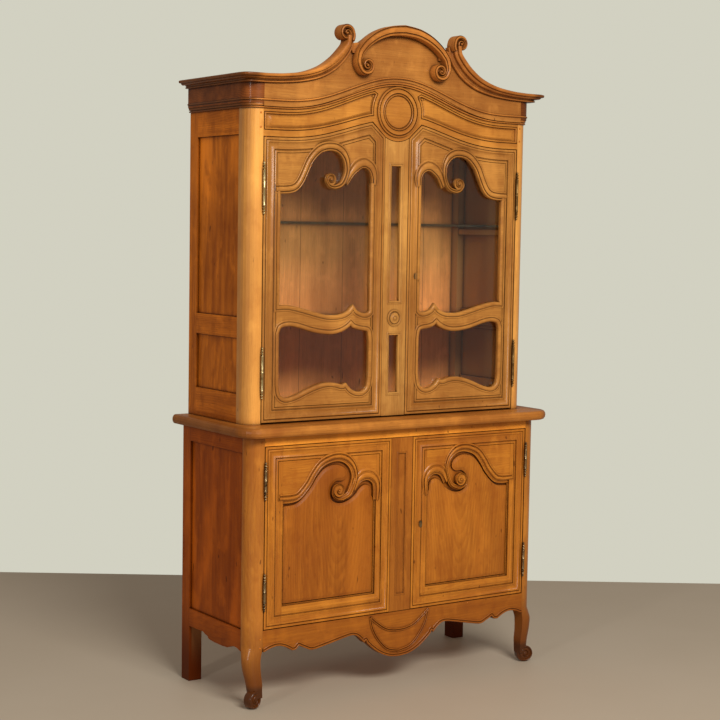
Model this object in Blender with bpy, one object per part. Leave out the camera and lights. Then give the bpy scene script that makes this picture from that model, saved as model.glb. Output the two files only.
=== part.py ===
"""Two-tier French provincial buffet: a cupboard base with two panelled doors, and a glazed upper case.

Metres, +Z up. X runs from left to right, -Y is the front.
The origin is at floor level, in the middle of the plan.
"""

import math

import bmesh
import bpy
from mathutils import Matrix, Vector

# Overall sizes
BASE_WIDTH = 1.230
BASE_DEPTH = 0.470
BASE_HEIGHT = 0.9155
COUNTER_THICKNESS = 0.033
COUNTER_OVERHANG = 0.044
COUNTER_CORNER_RADIUS = 0.075
UPPER_SIDE_SETBACK = 0.019
UPPER_SETBACK = 0.0633

# Clearances
SEAT_GAP = 0.0003
DOOR_GAP = 0.0022
HINGE_GAP = 0.0030
CUT_OVERRUN = 0.010
CORNER_CUT = 0.002
SINK = 0.003

# Timber sections
CORNER_RADIUS = 0.050
POST_WIDTH = 0.0535
BASE_POST_DEPTH = 0.055
UPPER_POST_DEPTH = 0.070
REAR_POST_WIDTH = 0.050
REAR_POST_DEPTH = 0.054
FRAME_THICKNESS = 0.026
RAIL_THICKNESS = 0.024
DOOR_THICKNESS = 0.024
PANEL_THICKNESS = 0.010
PANEL_RECESS = 0.008
BOARD_THICKNESS = 0.018
BACK_THICKNESS = 0.012
BACK_RECESS = 0.004
CLEAT_SIZE = 0.020
PANE_THICKNESS = 0.003

# Rails, panels and shelves of the base, from the floor up
APRON_TOP = 0.2638
BASE_TOP_RAIL = 0.0335
BASE_SIDE_PANEL_BOTTOM = 0.262
BASE_SIDE_TOP_RAIL = 0.0565
BASE_SHELF_RISE = 0.313
BASE_SHELF_SETBACK = 0.045

# Rails, panels and shelves of the upper case, from its foot up
UPPER_DOOR_RAISE = 0.005
UPPER_DOOR_SIDE = 0.9532
SIDE_BOTTOM_RAIL = 0.0989
LOW_SIDE_PANEL = 0.189
SIDE_MIDDLE_RAIL = 0.070
TALL_SIDE_PANEL = 0.608
WOOD_SHELF_RISE = 0.3409
GLASS_SHELF_RISE = 0.332
GLASS_SHELF_THICKNESS = 0.008
UPPER_SHELF_SETBACK = 0.060
TOP_BOARD_DROP = 0.030

# Swept lines of the top: every one is level beside the post and rises to the middle
DOOR_TOP_RISE = 0.080
FRIEZE_END = 0.100
FRIEZE_JOINT_RISE = 0.113
SWEEP_LEVEL = 0.0425
SWEEP_POWER_SHARE = 1.4
POST_OVER_FRIEZE = 0.101

# Doors and centre stiles
BASE_STILE_HALF_WIDTH = 0.045
UPPER_STILE_HALF_WIDTH = 0.050
BASE_HINGE_STILE = 0.070
UPPER_HINGE_STILE = 0.0665
BASE_MEETING_STILE = 0.0635
UPPER_MEETING_STILE = 0.059
BASE_BOTTOM_RAIL = 0.072
BASE_SPRING_DROP = 0.185
UPPER_BOTTOM_RAIL = 0.1262
LOW_PANE_HEIGHT = 0.206
MIDDLE_RAIL = 0.052
UPPER_SPRING_DROP = 0.1775
UPPER_DOOR_CHAMFER = 0.052
PANEL_POCKET_DEPTH = 0.009
PANEL_POCKET_LAP = 0.012
GLASS_POCKET_DEPTH = 0.008
GLASS_POCKET_LAP = 0.009

# Carved bands of the doors: widths as shares of the opening's width, heights as lengths
BAND_INNER_SHARE = 0.0272
BAND_OUTER_SHARE = 0.0600
BAND_PROUD = 0.0055
BAND_GROOVE = 0.002
BAND_DEEP = 0.014
EYE_SHARE = 0.0245
EYE_PROUD = 0.008
EDGE_BEAD_HALF_WIDTH = 0.015
EDGE_BEAD_INSET = 0.021
EDGE_BEAD_PROUD = 0.0045

# Hinges: barrels that stand just in front of the joint
BARREL_RADIUS = 0.0058
BARREL_PROUD = 0.0064
BASE_BARREL = 0.128
UPPER_BARREL = 0.174
BASE_HINGE_INSETS = (0.127, 0.114)
UPPER_HINGE_INSETS = (0.168, 0.169)
PIN_RADIUS = 0.0025
PIN_LENGTH = 0.028
BORE_CLEARANCE = 0.0003
BLADE_DEPTH = 0.018
FINIAL_LENGTH = 0.018

# Locks
LOCK_WIDTH = 0.045
LOCK_HEIGHT = 0.080
LOCK_DEPTH = 0.011
LOCK_EDGE = 0.0035
KEYHOLE_IN = 0.0385
BASE_LOCK_RISE = 0.302
UPPER_LOCK_RISE = 0.4912
KEY_TUBE_RADIUS = 0.0055
KEYHOLE_RADIUS = 0.002
ESCUTCHEON_SIZE = (0.013, 0.026)
ESCUTCHEON_THICKNESS = 0.0018
SEAT_SINK = 0.0006
BOLT_LENGTH = 0.028
BOLT_HEIGHT = 0.014
BOLT_THICKNESS = 0.006
BOLT_COVER = 0.0018

# Cabriole feet
LEG_TOP = 0.205
SCROLL_RADIUS = 0.0300
SCROLL_LENGTH = 0.030
SCROLL_IN = 0.027
LEG_TURN = math.radians(17)

# Cornice and architrave
CORNICE_PROJECTION = 0.045
CORNICE_HEIGHT = 0.0275
CORNICE_RISE = 0.076
ARCHITRAVE_HEIGHT = 0.050
ARCHITRAVE_MIDDLE_SHARE = 0.64
ARCHITRAVE_PROJECTION = 0.012
MEDALLION_RISE = 0.108
MEDALLION_RADIUS = 0.082
LOBE_RADIUS = 0.100
CREST_THICKNESS = 0.024
BACK_STEP = 0.0002

# Shading: edges sharper than this stay crisp
ROUND_ANGLE = math.radians(40)
SIDES = {"left": -1, "right": 1}

# Derived places
BASE_HALF = BASE_WIDTH / 2
UPPER_HALF = BASE_HALF - UPPER_SIDE_SETBACK
FRONT = COUNTER_OVERHANG - (BASE_DEPTH + COUNTER_OVERHANG) / 2
BACK = FRONT + BASE_DEPTH
UPPER_FRONT = FRONT + UPPER_SETBACK
COUNTER_TOP = BASE_HEIGHT + SEAT_GAP + COUNTER_THICKNESS
UPPER_FOOT = COUNTER_TOP + SEAT_GAP
BASE_DOOR_BOTTOM = APRON_TOP + DOOR_GAP
BASE_DOOR_TOP = BASE_HEIGHT - BASE_TOP_RAIL
BASE_SIDE_PANEL_TOP = BASE_HEIGHT - BASE_SIDE_TOP_RAIL
BASE_SHELF_TOP = BASE_SIDE_PANEL_BOTTOM + BASE_SHELF_RISE
BASE_SPRING = BASE_DOOR_TOP - BASE_SPRING_DROP
UPPER_DOOR_BOTTOM = COUNTER_TOP + UPPER_DOOR_RAISE
DOOR_TOP_END = UPPER_DOOR_BOTTOM + UPPER_DOOR_SIDE
FRIEZE_JOINT_END = DOOR_TOP_END + FRIEZE_END
UPPER_TOP = FRIEZE_JOINT_END + POST_OVER_FRIEZE
CORNICE_BOTTOM = FRIEZE_JOINT_END + CORNICE_RISE
MEDALLION_HEIGHT = DOOR_TOP_END + MEDALLION_RISE
LOW_PANEL_BOTTOM = UPPER_FOOT + SIDE_BOTTOM_RAIL
LOW_PANEL_TOP = LOW_PANEL_BOTTOM + LOW_SIDE_PANEL
TALL_PANEL_BOTTOM = LOW_PANEL_TOP + SIDE_MIDDLE_RAIL
TALL_PANEL_TOP = TALL_PANEL_BOTTOM + TALL_SIDE_PANEL
WOOD_SHELF_TOP = UPPER_FOOT + WOOD_SHELF_RISE
GLASS_SHELF_TOP = WOOD_SHELF_TOP + GLASS_SHELF_RISE
LOW_PANE_BOTTOM_HEIGHT = UPPER_DOOR_BOTTOM + UPPER_BOTTOM_RAIL
LOW_PANE_TOP_HEIGHT = LOW_PANE_BOTTOM_HEIGHT + LOW_PANE_HEIGHT
MIDDLE_RAIL_TOP = LOW_PANE_TOP_HEIGHT + MIDDLE_RAIL
UPPER_SPRING = DOOR_TOP_END - UPPER_SPRING_DROP
BASE_POST_IN = BASE_HALF - POST_WIDTH
UPPER_POST_IN = UPPER_HALF - POST_WIDTH
BASE_DOOR_OUT = BASE_POST_IN - HINGE_GAP
UPPER_DOOR_OUT = UPPER_POST_IN - HINGE_GAP
BASE_HINGE_X = BASE_POST_IN - HINGE_GAP / 2
UPPER_HINGE_X = UPPER_POST_IN - HINGE_GAP / 2
SWEEP_HALF_SPAN = UPPER_POST_IN - SWEEP_LEVEL
CORNER_START = UPPER_HALF - CORNER_RADIUS
FORWARD = (0, -1, 0)

# Colours, roughness and metallic values of the materials
WOOD_ROUGHNESS_SHARE = 0.38
WOODS = {
    "post_wood": (0.56, 0.25, 0.075),
    "frame_wood": (0.48, 0.20, 0.055),
    "panel_wood": (0.42, 0.15, 0.035),
    "inner_wood": (0.30, 0.14, 0.060),
}


def clear_scene():
    for obj in list(bpy.data.objects):
        bpy.data.objects.remove(obj, do_unlink=True)


def make_material(name, colour, roughness, metallic=0.0, alpha=1.0):
    material = bpy.data.materials.new(name)
    material.use_nodes = True
    shader = material.node_tree.nodes["Principled BSDF"]
    shader.inputs["Base Color"].default_value = (*colour, 1.0)
    shader.inputs["Roughness"].default_value = roughness
    shader.inputs["Metallic"].default_value = metallic
    shader.inputs["Alpha"].default_value = alpha
    return material


def make_materials():
    made = {name: make_material(name, colour, WOOD_ROUGHNESS_SHARE) for name, colour in WOODS.items()}
    made["brass"] = make_material("brass", (0.52, 0.38, 0.14), 0.35, 1.0)
    made["bronze"] = make_material("bronze", (0.16, 0.11, 0.06), 0.45, 1.0)
    made["iron"] = make_material("iron", (0.10, 0.09, 0.08), 0.55, 1.0)
    made["glass"] = make_material("glass", (0.80, 0.88, 0.84), 0.04, 0.0, 0.25)
    return made


# Mesh helpers


def add_box(mesh, low, high):
    size = Vector(high) - Vector(low)
    centre = (Vector(high) + Vector(low)) / 2
    place = Matrix.Translation(centre) @ Matrix.Diagonal((*size, 1.0))
    bmesh.ops.create_cube(mesh, size=1.0, matrix=place)


def box(low, high):
    mesh = bmesh.new()
    add_box(mesh, low, high)
    return mesh


def plate(outline, start, end, holes=(), plane="XZ"):
    """An outline with holes, extruded across its plane from start to end."""
    mesh = bmesh.new()
    edges = []
    for loop in (outline, *holes):
        corners = [mesh.verts.new(in_plane(a, b, start, plane)) for a, b in loop]
        for first, second in zip(corners, corners[1:] + corners[:1]):
            edges.append(mesh.edges.new((first, second)))
    bmesh.ops.triangle_fill(mesh, use_beauty=True, use_dissolve=False, edges=edges)
    grown = bmesh.ops.extrude_face_region(mesh, geom=list(mesh.faces))
    moved = [item for item in grown["geom"] if isinstance(item, bmesh.types.BMVert)]
    bmesh.ops.translate(mesh, verts=moved, vec=in_plane(0, 0, end - start, plane))
    bmesh.ops.recalc_face_normals(mesh, faces=mesh.faces)
    return mesh


def in_plane(a, b, across, plane):
    if plane == "XZ":
        return Vector((a, across, b))
    if plane == "YZ":
        return Vector((across, a, b))
    return Vector((a, b, across))


def skin(rings, closed=False):
    """Rings of equal count joined into one surface, capped at both ends unless the run is closed."""
    mesh = bmesh.new()
    loops = [[mesh.verts.new(point) for point in ring] for ring in rings]
    pairs = list(zip(loops, loops[1:]))
    if closed:
        pairs.append((loops[-1], loops[0]))
    for first, second in pairs:
        for i in range(len(first)):
            j = (i + 1) % len(first)
            mesh.faces.new((first[i], first[j], second[j], second[i]))
    if not closed:
        mesh.faces.new(loops[0])
        mesh.faces.new(loops[-1])
    bmesh.ops.recalc_face_normals(mesh, faces=mesh.faces)
    return mesh


def turned(profile, centre, axis, steps):
    """A solid of revolution: profile holds (radius, distance along the axis), and its ends close flat."""
    axis = Vector(axis).normalized()
    side = axis.orthogonal().normalized()
    other = axis.cross(side)
    rings = []
    for radius, along in profile:
        ring = []
        for k in range(steps):
            angle = 2 * math.pi * k / steps
            spoke = side * math.cos(angle) + other * math.sin(angle)
            ring.append(Vector(centre) + axis * along + spoke * radius)
        rings.append(ring)
    return skin(rings)


def smooth_line(points, steps):
    """A smooth curve through the points, with this many steps between two of them."""
    points = [Vector(point) for point in points]
    padded = [2 * points[0] - points[1], *points, 2 * points[-1] - points[-2]]
    line = []
    for a, b, c, d in zip(padded, padded[1:], padded[2:], padded[3:]):
        for k in range(steps):
            t = k / steps
            line.append(
                (2 * b + (c - a) * t + (2 * a - 5 * b + 4 * c - d) * t**2
                 + (3 * b - a - 3 * c + d) * t**3) / 2
            )
    line.append(points[-1])
    return line


def spiral(eye, turns, steps):
    """Points round an eye: turns holds (angle in degrees, radius), which change evenly in between."""
    line = []
    for (angle_a, radius_a), (angle_b, radius_b) in zip(turns, turns[1:]):
        for k in range(steps):
            share = k / steps
            angle = math.radians(angle_a + (angle_b - angle_a) * share)
            radius = radius_a + (radius_b - radius_a) * share
            line.append(Vector((eye[0] + radius * math.cos(angle), eye[1] + radius * math.sin(angle))))
    angle, radius = math.radians(turns[-1][0]), turns[-1][1]
    line.append(Vector((eye[0] + radius * math.cos(angle), eye[1] + radius * math.sin(angle))))
    return line


def left_normals(line, closed=False):
    """The direction to the left of a line at each point, longer at a corner to keep the band's width."""
    count = len(line)
    normals = []
    for i in range(count):
        before = line[i] - line[i - 1] if (i or closed) else line[1] - line[0]
        after = line[(i + 1) % count] - line[i] if (i < count - 1 or closed) else before
        n_before = Vector((-before.y, before.x)).normalized()
        n_after = Vector((-after.y, after.x)).normalized()
        middle = n_before + n_after
        normals.append(2 * middle / middle.length_squared)
    return normals


def band(line, profile, front, closed=False, widths=None, side=1):
    """A moulding along a line in the elevation: profile holds (left offset, height in front of the face)."""
    line = [Vector(point) for point in line]
    normals = left_normals(line, closed)
    rings = []
    for i, (point, normal) in enumerate(zip(line, normals)):
        left, right = widths[i] if widths else (1.0, 1.0)
        ring = []
        for offset, height in profile:
            spot = point + normal * offset * (left if offset > 0 else right)
            ring.append(Vector((spot.x * side, front - height, spot.y)))
        rings.append(ring)
    return skin(rings, closed)


def rounded_section(half_width, front, width, depth, radius, side, steps):
    """Plan of a corner post: a rectangle whose outer front corner is a quarter round."""
    points = [(half_width - width, front), (half_width - radius, front)]
    for k in range(1, steps + 1):
        angle = math.pi / 2 * k / steps
        x = half_width - radius + radius * math.sin(angle)
        y = front + radius - radius * math.cos(angle)
        points.append((x, y))
    points.append((half_width, front + depth))
    points.append((half_width - width, front + depth))
    return [(side * x, y) for x, y in points]


# Object helpers


def make_object(name, mesh, material, empty=None):
    data = bpy.data.meshes.new(name)
    origin = empty.location.copy() if empty else Vector((0, 0, 0))
    bmesh.ops.translate(mesh, verts=mesh.verts, vec=-origin)
    bmesh.ops.recalc_face_normals(mesh, faces=mesh.faces)
    mesh.to_mesh(data)
    mesh.free()
    if material:
        data.materials.append(material)
    data.shade_smooth()
    data.set_sharp_from_angle(angle=ROUND_ANGLE)
    obj = bpy.data.objects.new(name, data)
    bpy.context.scene.collection.objects.link(obj)
    obj.parent = empty
    return obj


def helper(owner, mesh, operation, name):
    """Joins to, or cuts from, its owner a helper mesh that stays out of the render."""
    tool = make_object(f"{owner.name}_{name}", mesh, None, owner.parent)
    tool.hide_render = True
    tool.display_type = "WIRE"
    modifier = owner.modifiers.new(name, "BOOLEAN")
    modifier.operation = operation
    modifier.object = tool
    modifier.solver = "EXACT"
    modifier.use_self = True


def joint_empty(name, place):
    empty = bpy.data.objects.new(name, None)
    empty.location = place
    empty.empty_display_size = BOARD_THICKNESS
    bpy.context.scene.collection.objects.link(empty)
    return empty



def sweep_rise(x):
    """Share of the full rise of a swept line at distance x from the middle."""
    reach = min(abs(x) / SWEEP_HALF_SPAN, 1.0)
    return (0.5 + 0.5 * math.cos(math.pi * reach)) ** SWEEP_POWER_SHARE


def swept(x_from, x_to, end, rise, steps):
    line = []
    for k in range(steps + 1):
        x = x_from + (x_to - x_from) * k / steps
        line.append((x, end + rise * sweep_rise(x)))
    return line


# Base


LEG_SECTIONS = (
    # height, how far the outer face stands out past the side of the case, width, depth
    (0.190, 0.0015, 0.046, 0.048),
    (0.168, 0.0045, 0.038, 0.040),
    (0.145, 0.0015, 0.034, 0.036),
    (0.115, -0.0080, 0.031, 0.032),
    (0.085, -0.0175, 0.030, 0.030),
    (0.062, -0.0190, 0.032, 0.030),
    (0.040, -0.0220, 0.036, 0.030),
)
LEG_CORNER_SHARE = 0.62
POST_ARC_STEPS = 6


def leg_rings(side):
    rings = []
    for height in (BASE_HEIGHT, LEG_TOP):
        section = rounded_section(
            BASE_HALF, FRONT, POST_WIDTH, BASE_POST_DEPTH, CORNER_RADIUS, side, POST_ARC_STEPS
        )
        rings.append([Vector((x, y, height)) for x, y in section])
    for height, outer, width, depth in LEG_SECTIONS:
        section = rounded_section(
            BASE_HALF + outer, FRONT, width, depth, width * LEG_CORNER_SHARE, side, POST_ARC_STEPS
        )
        rings.append([Vector((x, y, height)) for x, y in section])
    return rings


SCROLL_STEPS = 20
SCROLL_DRUM_SHARES = (
    # along the drum from its middle, radius
    (-0.5, 0.86), (-0.40, 1.0), (0.40, 1.0), (0.5, 0.86),
)
SCROLL_FLAT_SHARE = 0.955
SCROLL_EYE_SHARES = (
    # distance from the drum's middle, radius
    (0.30, 0.42), (0.54, 0.42), (0.57, 0.25),
)
SMALL_STEPS = 12
BUTTON_STEPS = 14


def foot_scroll(side):
    """The rolled foot: a drum whose axis lies across the leg's plane, flat where it stands."""
    axis = Vector((-side * math.sin(LEG_TURN), -math.cos(LEG_TURN), 0))
    out = Vector((side * math.cos(LEG_TURN), -math.sin(LEG_TURN), 0))
    middle = Vector((side * (BASE_HALF - SCROLL_IN), FRONT + SCROLL_LENGTH / 2, SCROLL_RADIUS))
    rings = []
    for share, size in SCROLL_DRUM_SHARES:
        ring = []
        for k in range(SCROLL_STEPS):
            angle = 2 * math.pi * k / SCROLL_STEPS
            across = out * math.cos(angle) * SCROLL_RADIUS * size
            height = max(math.sin(angle) * size, -SCROLL_FLAT_SHARE) * SCROLL_RADIUS
            ring.append(middle + axis * SCROLL_LENGTH * share + across + Vector((0, 0, height)))
        rings.append(ring)
    mesh = skin(rings)
    lowest = min(vert.co.z for vert in mesh.verts)
    bmesh.ops.translate(mesh, verts=mesh.verts, vec=(0, 0, -lowest))
    return mesh


def scroll_eye(side, face):
    axis = Vector((-side * math.sin(LEG_TURN), -math.cos(LEG_TURN), 0)) * face
    middle = Vector((side * (BASE_HALF - SCROLL_IN), FRONT + SCROLL_LENGTH / 2, SCROLL_RADIUS))
    profile = [(SCROLL_RADIUS * size, SCROLL_LENGTH * along) for along, size in SCROLL_EYE_SHARES]
    return turned(profile, middle, axis, SMALL_STEPS)


def lower_front_post(name, side, materials):
    post = make_object(name, skin(leg_rings(side)), materials["post_wood"])
    helper(post, foot_scroll(side), "UNION", "foot")
    helper(post, scroll_eye(side, 1), "UNION", "front_eye")
    helper(post, scroll_eye(side, -1), "UNION", "rear_eye")
    return post


SIDE_SCALLOP_SHARES = (
    # along the rail from the rear post, depth below its lowest panel edge
    (0.0, 0.92), (0.28, 0.90), (0.32, 0.99), (0.36, 1.02), (0.40, 1.16), (0.50, 1.20),
    (0.66, 1.20), (0.76, 1.16), (0.82, 1.02), (0.88, 0.96), (0.94, 0.98), (1.0, 1.08),
)
BASE_SIDE_RAIL_DROP = 0.068
BACK_PANEL_DROP = 0.0612


def side_frame(name, side, half_width, front_y, low, high, openings, foot, scallop, materials):
    """Rear post with the rails of one side; the front post closes its openings."""
    rear = BACK - REAR_POST_DEPTH
    outer = side * half_width
    inner = side * (half_width - FRAME_THICKNESS)
    outline = [(front_y, high), (BACK, high), (BACK, foot), (rear, foot)]
    if scallop:
        for along, drop in SIDE_SCALLOP_SHARES:
            y = rear + (front_y - rear) * along
            outline.append((y, BASE_SIDE_PANEL_BOTTOM - BASE_SIDE_RAIL_DROP * drop))
    else:
        outline[-2:] = [(BACK, low)]
        outline.append((front_y, low))
    frame = make_object(
        name, plate(outline, outer, inner, plane="YZ"), materials["frame_wood"]
    )
    for number, (bottom, top) in enumerate(openings):
        low_corner = (min(outer, inner) - CUT_OVERRUN, front_y - CUT_OVERRUN, bottom)
        high_corner = (max(outer, inner) + CUT_OVERRUN, rear, top)
        helper(frame, box(low_corner, high_corner), "DIFFERENCE", f"opening_{number}")
    thick = sorted((side * (half_width - FRAME_THICKNESS + SINK), side * (half_width - REAR_POST_WIDTH)))
    post = box((thick[0], rear, foot), (thick[1], BACK, high))
    helper(frame, post, "UNION", "rear_post")
    return frame


def add_cleat(frame, side, half_width, front_y, top, number):
    """A strip along the side, from the front post to the rear one, that a shelf rests on."""
    outer = side * (half_width - FRAME_THICKNESS + SINK)
    inside = sorted((side * (half_width - REAR_POST_WIDTH + SINK), outer))
    low = (inside[0], front_y + SINK, top - CLEAT_SIZE)
    high = (inside[1], BACK - REAR_POST_DEPTH + SINK, top)
    helper(frame, box(low, high), "UNION", f"cleat_{number}")


def side_panel(name, side, half_width, front_y, bottom, top, materials):
    outer = side * (half_width - PANEL_RECESS)
    inner = side * (half_width - PANEL_RECESS - PANEL_THICKNESS)
    low = (min(outer, inner), front_y + SEAT_GAP, bottom + SEAT_GAP)
    high = (max(outer, inner), BACK - REAR_POST_DEPTH - SEAT_GAP, top - SEAT_GAP)
    return make_object(name, box(low, high), materials["panel_wood"])


def notched_board(half_width, post_in, post_back, front_y, lap):
    """Plan of a board that fits between the sides and is notched round the posts."""
    inner = half_width - lap - SEAT_GAP
    rear = BACK - REAR_POST_DEPTH - SEAT_GAP
    rear_in = half_width - REAR_POST_WIDTH - SEAT_GAP
    back_y = BACK - BACK_RECESS - BACK_THICKNESS - SEAT_GAP
    right = [
        (post_in - SEAT_GAP, front_y), (post_in - SEAT_GAP, post_back + SEAT_GAP),
        (inner, post_back + SEAT_GAP), (inner, rear), (rear_in, rear), (rear_in, back_y),
    ]
    if front_y > post_back + SEAT_GAP:
        right = [(inner, front_y), (inner, rear), (rear_in, rear), (rear_in, back_y)]
    return right + [(-x, y) for x, y in reversed(right)]


def board(name, half_width, post_in, post_back, front_y, top, thickness, lap, material):
    outline = notched_board(half_width, post_in, post_back, front_y, lap)
    return make_object(name, plate(outline, top - thickness, top, plane="XY"), material)


def back_panel(name, half_width, bottom, top, materials):
    half = half_width - REAR_POST_WIDTH - SEAT_GAP
    low = (-half, BACK - BACK_RECESS - BACK_THICKNESS, bottom)
    high = (half, BACK - BACK_RECESS, top)
    return make_object(name, box(low, high), materials["inner_wood"])


APRON_SHARES = (
    # share of the half width, share of the rail's drop below its top
    (1.000, 0.445), (0.985, 0.445), (0.950, 0.395), (0.895, 0.365), (0.840, 0.415), (0.780, 0.535),
    (0.768, 0.500), (0.746, 0.425), (0.700, 0.500), (0.650, 0.560), (0.560, 0.510),
    (0.440, 0.425), (0.365, 0.382), (0.320, 0.420), (0.265, 0.585), (0.256, 0.540), (0.246, 0.600),
    (0.200, 0.740), (0.145, 0.870), (0.075, 0.970), (0.000, 1.000),
)
APRON_DROP = 0.1618
LOBE_PROUD = 0.005
LOBE_TOP_SHARES = ((0.218, 0.055), (0.180, 0.170), (0.110, 0.335), (0.050, 0.395), (0.0, 0.408))
LOBE_LOW_SHARES = ((0.196, 0.230), (0.175, 0.440), (0.140, 0.650), (0.080, 0.830), (0.0, 0.900))


def apron_rail(materials):
    half = BASE_POST_IN - SEAT_GAP

    def places(shares):
        return [(half * across, APRON_TOP - APRON_DROP * drop) for across, drop in shares]

    right = places(APRON_SHARES)
    outline = [(-half, APRON_TOP), (half, APRON_TOP), *right, *[(-x, z) for x, z in reversed(right[:-1])]]
    rail = plate(outline, FRONT, FRONT + RAIL_THICKNESS)
    rail = make_object("apron_rail", rail, materials["frame_wood"])
    top = smooth_line(places(LOBE_TOP_SHARES), 2)
    low = smooth_line(places(LOBE_LOW_SHARES), 2)
    right = [tuple(point) for point in top[::-1] + low]
    lobe = right + [(-x, z) for x, z in reversed(right[1:-1])]
    helper(rail, plate(lobe, FRONT - LOBE_PROUD, FRONT + SINK), "UNION", "crescent")
    return rail


def lower_top_rail(materials):
    half = BASE_POST_IN - SEAT_GAP
    low = (-half, FRONT, BASE_DOOR_TOP + DOOR_GAP)
    high = (half, FRONT + RAIL_THICKNESS, BASE_HEIGHT)
    return make_object("lower_top_rail", box(low, high), materials["frame_wood"])


NOSE_SHARE = 0.7
NOSE_STEPS = 6
COUNTER_ARC_STEPS = 7


def countertop(materials):
    """Top slab with a rounded edge on the front and sides and quarter-round front corners."""
    nose = COUNTER_THICKNESS / 2
    low = BASE_HEIGHT + SEAT_GAP
    rings = []
    for k in range(NOSE_STEPS + 1):
        angle = math.pi * (k / NOSE_STEPS - 1 / 2)
        inset = nose * (1 - math.cos(angle)) * NOSE_SHARE
        height = low + nose + nose * math.sin(angle)
        half = BASE_HALF + COUNTER_OVERHANG - inset
        front = FRONT - COUNTER_OVERHANG + inset
        radius = COUNTER_CORNER_RADIUS - inset
        ring = []
        for side in (-1, 1):
            arc = rounded_section(half, front, half, BACK - front, radius, side, COUNTER_ARC_STEPS)[1:-1]
            ring += arc[::-1] if side < 0 else arc
        rings.append([Vector((x, y, height)) for x, y in ring])
    return make_object("countertop", skin(rings), materials["frame_wood"])


def build_base(materials):
    for word, side in SIDES.items():
        lower_front_post(f"lower_front_post_{word}", side, materials)
        front_y = FRONT + BASE_POST_DEPTH
        frame = side_frame(
            f"lower_side_frame_{word}", side, BASE_HALF, front_y + SEAT_GAP, 0, BASE_HEIGHT,
            [(BASE_SIDE_PANEL_BOTTOM, BASE_SIDE_PANEL_TOP)], 0, True, materials,
        )
        add_cleat(frame, side, BASE_HALF, front_y + SEAT_GAP, BASE_SHELF_TOP - BOARD_THICKNESS - SEAT_GAP, 0)
        side_panel(
            f"lower_side_panel_{word}", side, BASE_HALF, front_y,
            BASE_SIDE_PANEL_BOTTOM, BASE_SIDE_PANEL_TOP, materials,
        )
    apron_rail(materials)
    lower_top_rail(materials)
    floor_top = BASE_SIDE_PANEL_BOTTOM
    post_back = FRONT + BASE_POST_DEPTH
    board(
        "lower_bottom_board", BASE_HALF, BASE_POST_IN, post_back, FRONT + RAIL_THICKNESS + SEAT_GAP,
        floor_top, BOARD_THICKNESS, FRAME_THICKNESS, materials["inner_wood"],
    )
    board(
        "lower_shelf", BASE_HALF, BASE_POST_IN, post_back, FRONT + DOOR_THICKNESS + BASE_SHELF_SETBACK,
        BASE_SHELF_TOP, BOARD_THICKNESS, FRAME_THICKNESS, materials["inner_wood"],
    )
    back_foot = BASE_SIDE_PANEL_BOTTOM - BACK_PANEL_DROP
    back_panel("lower_back_panel", BASE_HALF, back_foot, BASE_HEIGHT, materials)
    countertop(materials)


# Upper case


def upper_front_post(name, side, materials):
    section = rounded_section(
        UPPER_HALF, UPPER_FRONT, POST_WIDTH, UPPER_POST_DEPTH, CORNER_RADIUS, side, POST_ARC_STEPS
    )
    rings = [[Vector((x, y, height)) for x, y in section] for height in (UPPER_FOOT, UPPER_TOP)]
    return make_object(name, skin(rings), materials["post_wood"])


FRIEZE_PANEL_END = 0.0085
FRIEZE_PANEL_NEAR = 0.030
FRIEZE_PANEL_OVER = 0.023
FRIEZE_PANEL_UNDER = 0.031
FRIEZE_PANEL_DEPTH = 0.004
SWEEP_STEPS = 24
PANEL_LOW_STEPS = 8
PANEL_HIGH_STEPS = 9
MEDALLION_STEPS = 24
MEDALLION_SHARES = (
    # radius, height in front of the board, both as shares of the medallion's radius
    (1.00, -0.05), (1.00, 0.045), (0.93, 0.085), (0.85, 0.045), (0.75, 0.095),
    (0.67, 0.030), (0.50, 0.060), (0.25, 0.080),
)


def frieze_rail(materials):
    """Shaped rail over the doors, with a round lobe in the middle, two sunk panels and a turned medallion."""
    half = UPPER_POST_IN - SEAT_GAP
    top = swept(-half, half, FRIEZE_JOINT_END, FRIEZE_JOINT_RISE, SWEEP_STEPS)
    reach = lobe_reach()
    low = swept(half, reach, DOOR_TOP_END + DOOR_GAP, DOOR_TOP_RISE, PANEL_LOW_STEPS)
    lobe = lobe_line()
    outline = top + low + lobe + [(-x, z) for x, z in reversed(low)]
    rail = make_object(
        "frieze_rail", plate(outline, UPPER_FRONT, UPPER_FRONT + RAIL_THICKNESS), materials["frame_wood"]
    )
    for word, side in SIDES.items():
        out, near = UPPER_POST_IN - FRIEZE_PANEL_END, MEDALLION_RADIUS + FRIEZE_PANEL_NEAR
        sunk = swept(out, near, DOOR_TOP_END + FRIEZE_PANEL_OVER, DOOR_TOP_RISE, PANEL_LOW_STEPS)
        sunk += swept(near, out, FRIEZE_JOINT_END - FRIEZE_PANEL_UNDER, FRIEZE_JOINT_RISE, PANEL_HIGH_STEPS)
        sunk = [(side * x, z) for x, z in sunk]
        cut = plate(sunk, UPPER_FRONT - CUT_OVERRUN, UPPER_FRONT + FRIEZE_PANEL_DEPTH)
        helper(rail, cut, "DIFFERENCE", f"sunk_panel_{word}")
    profile = [(MEDALLION_RADIUS * r, MEDALLION_RADIUS * h) for r, h in MEDALLION_SHARES]
    centre = (0, UPPER_FRONT, MEDALLION_HEIGHT)
    helper(rail, turned(profile, centre, FORWARD, MEDALLION_STEPS), "UNION", "medallion")
    return rail


def lobe_reach():
    """Where the doors' chamfer line meets the swept line."""
    return UPPER_STILE_HALF_WIDTH + DOOR_GAP + UPPER_DOOR_CHAMFER


LOBE_STEPS = 8


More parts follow.
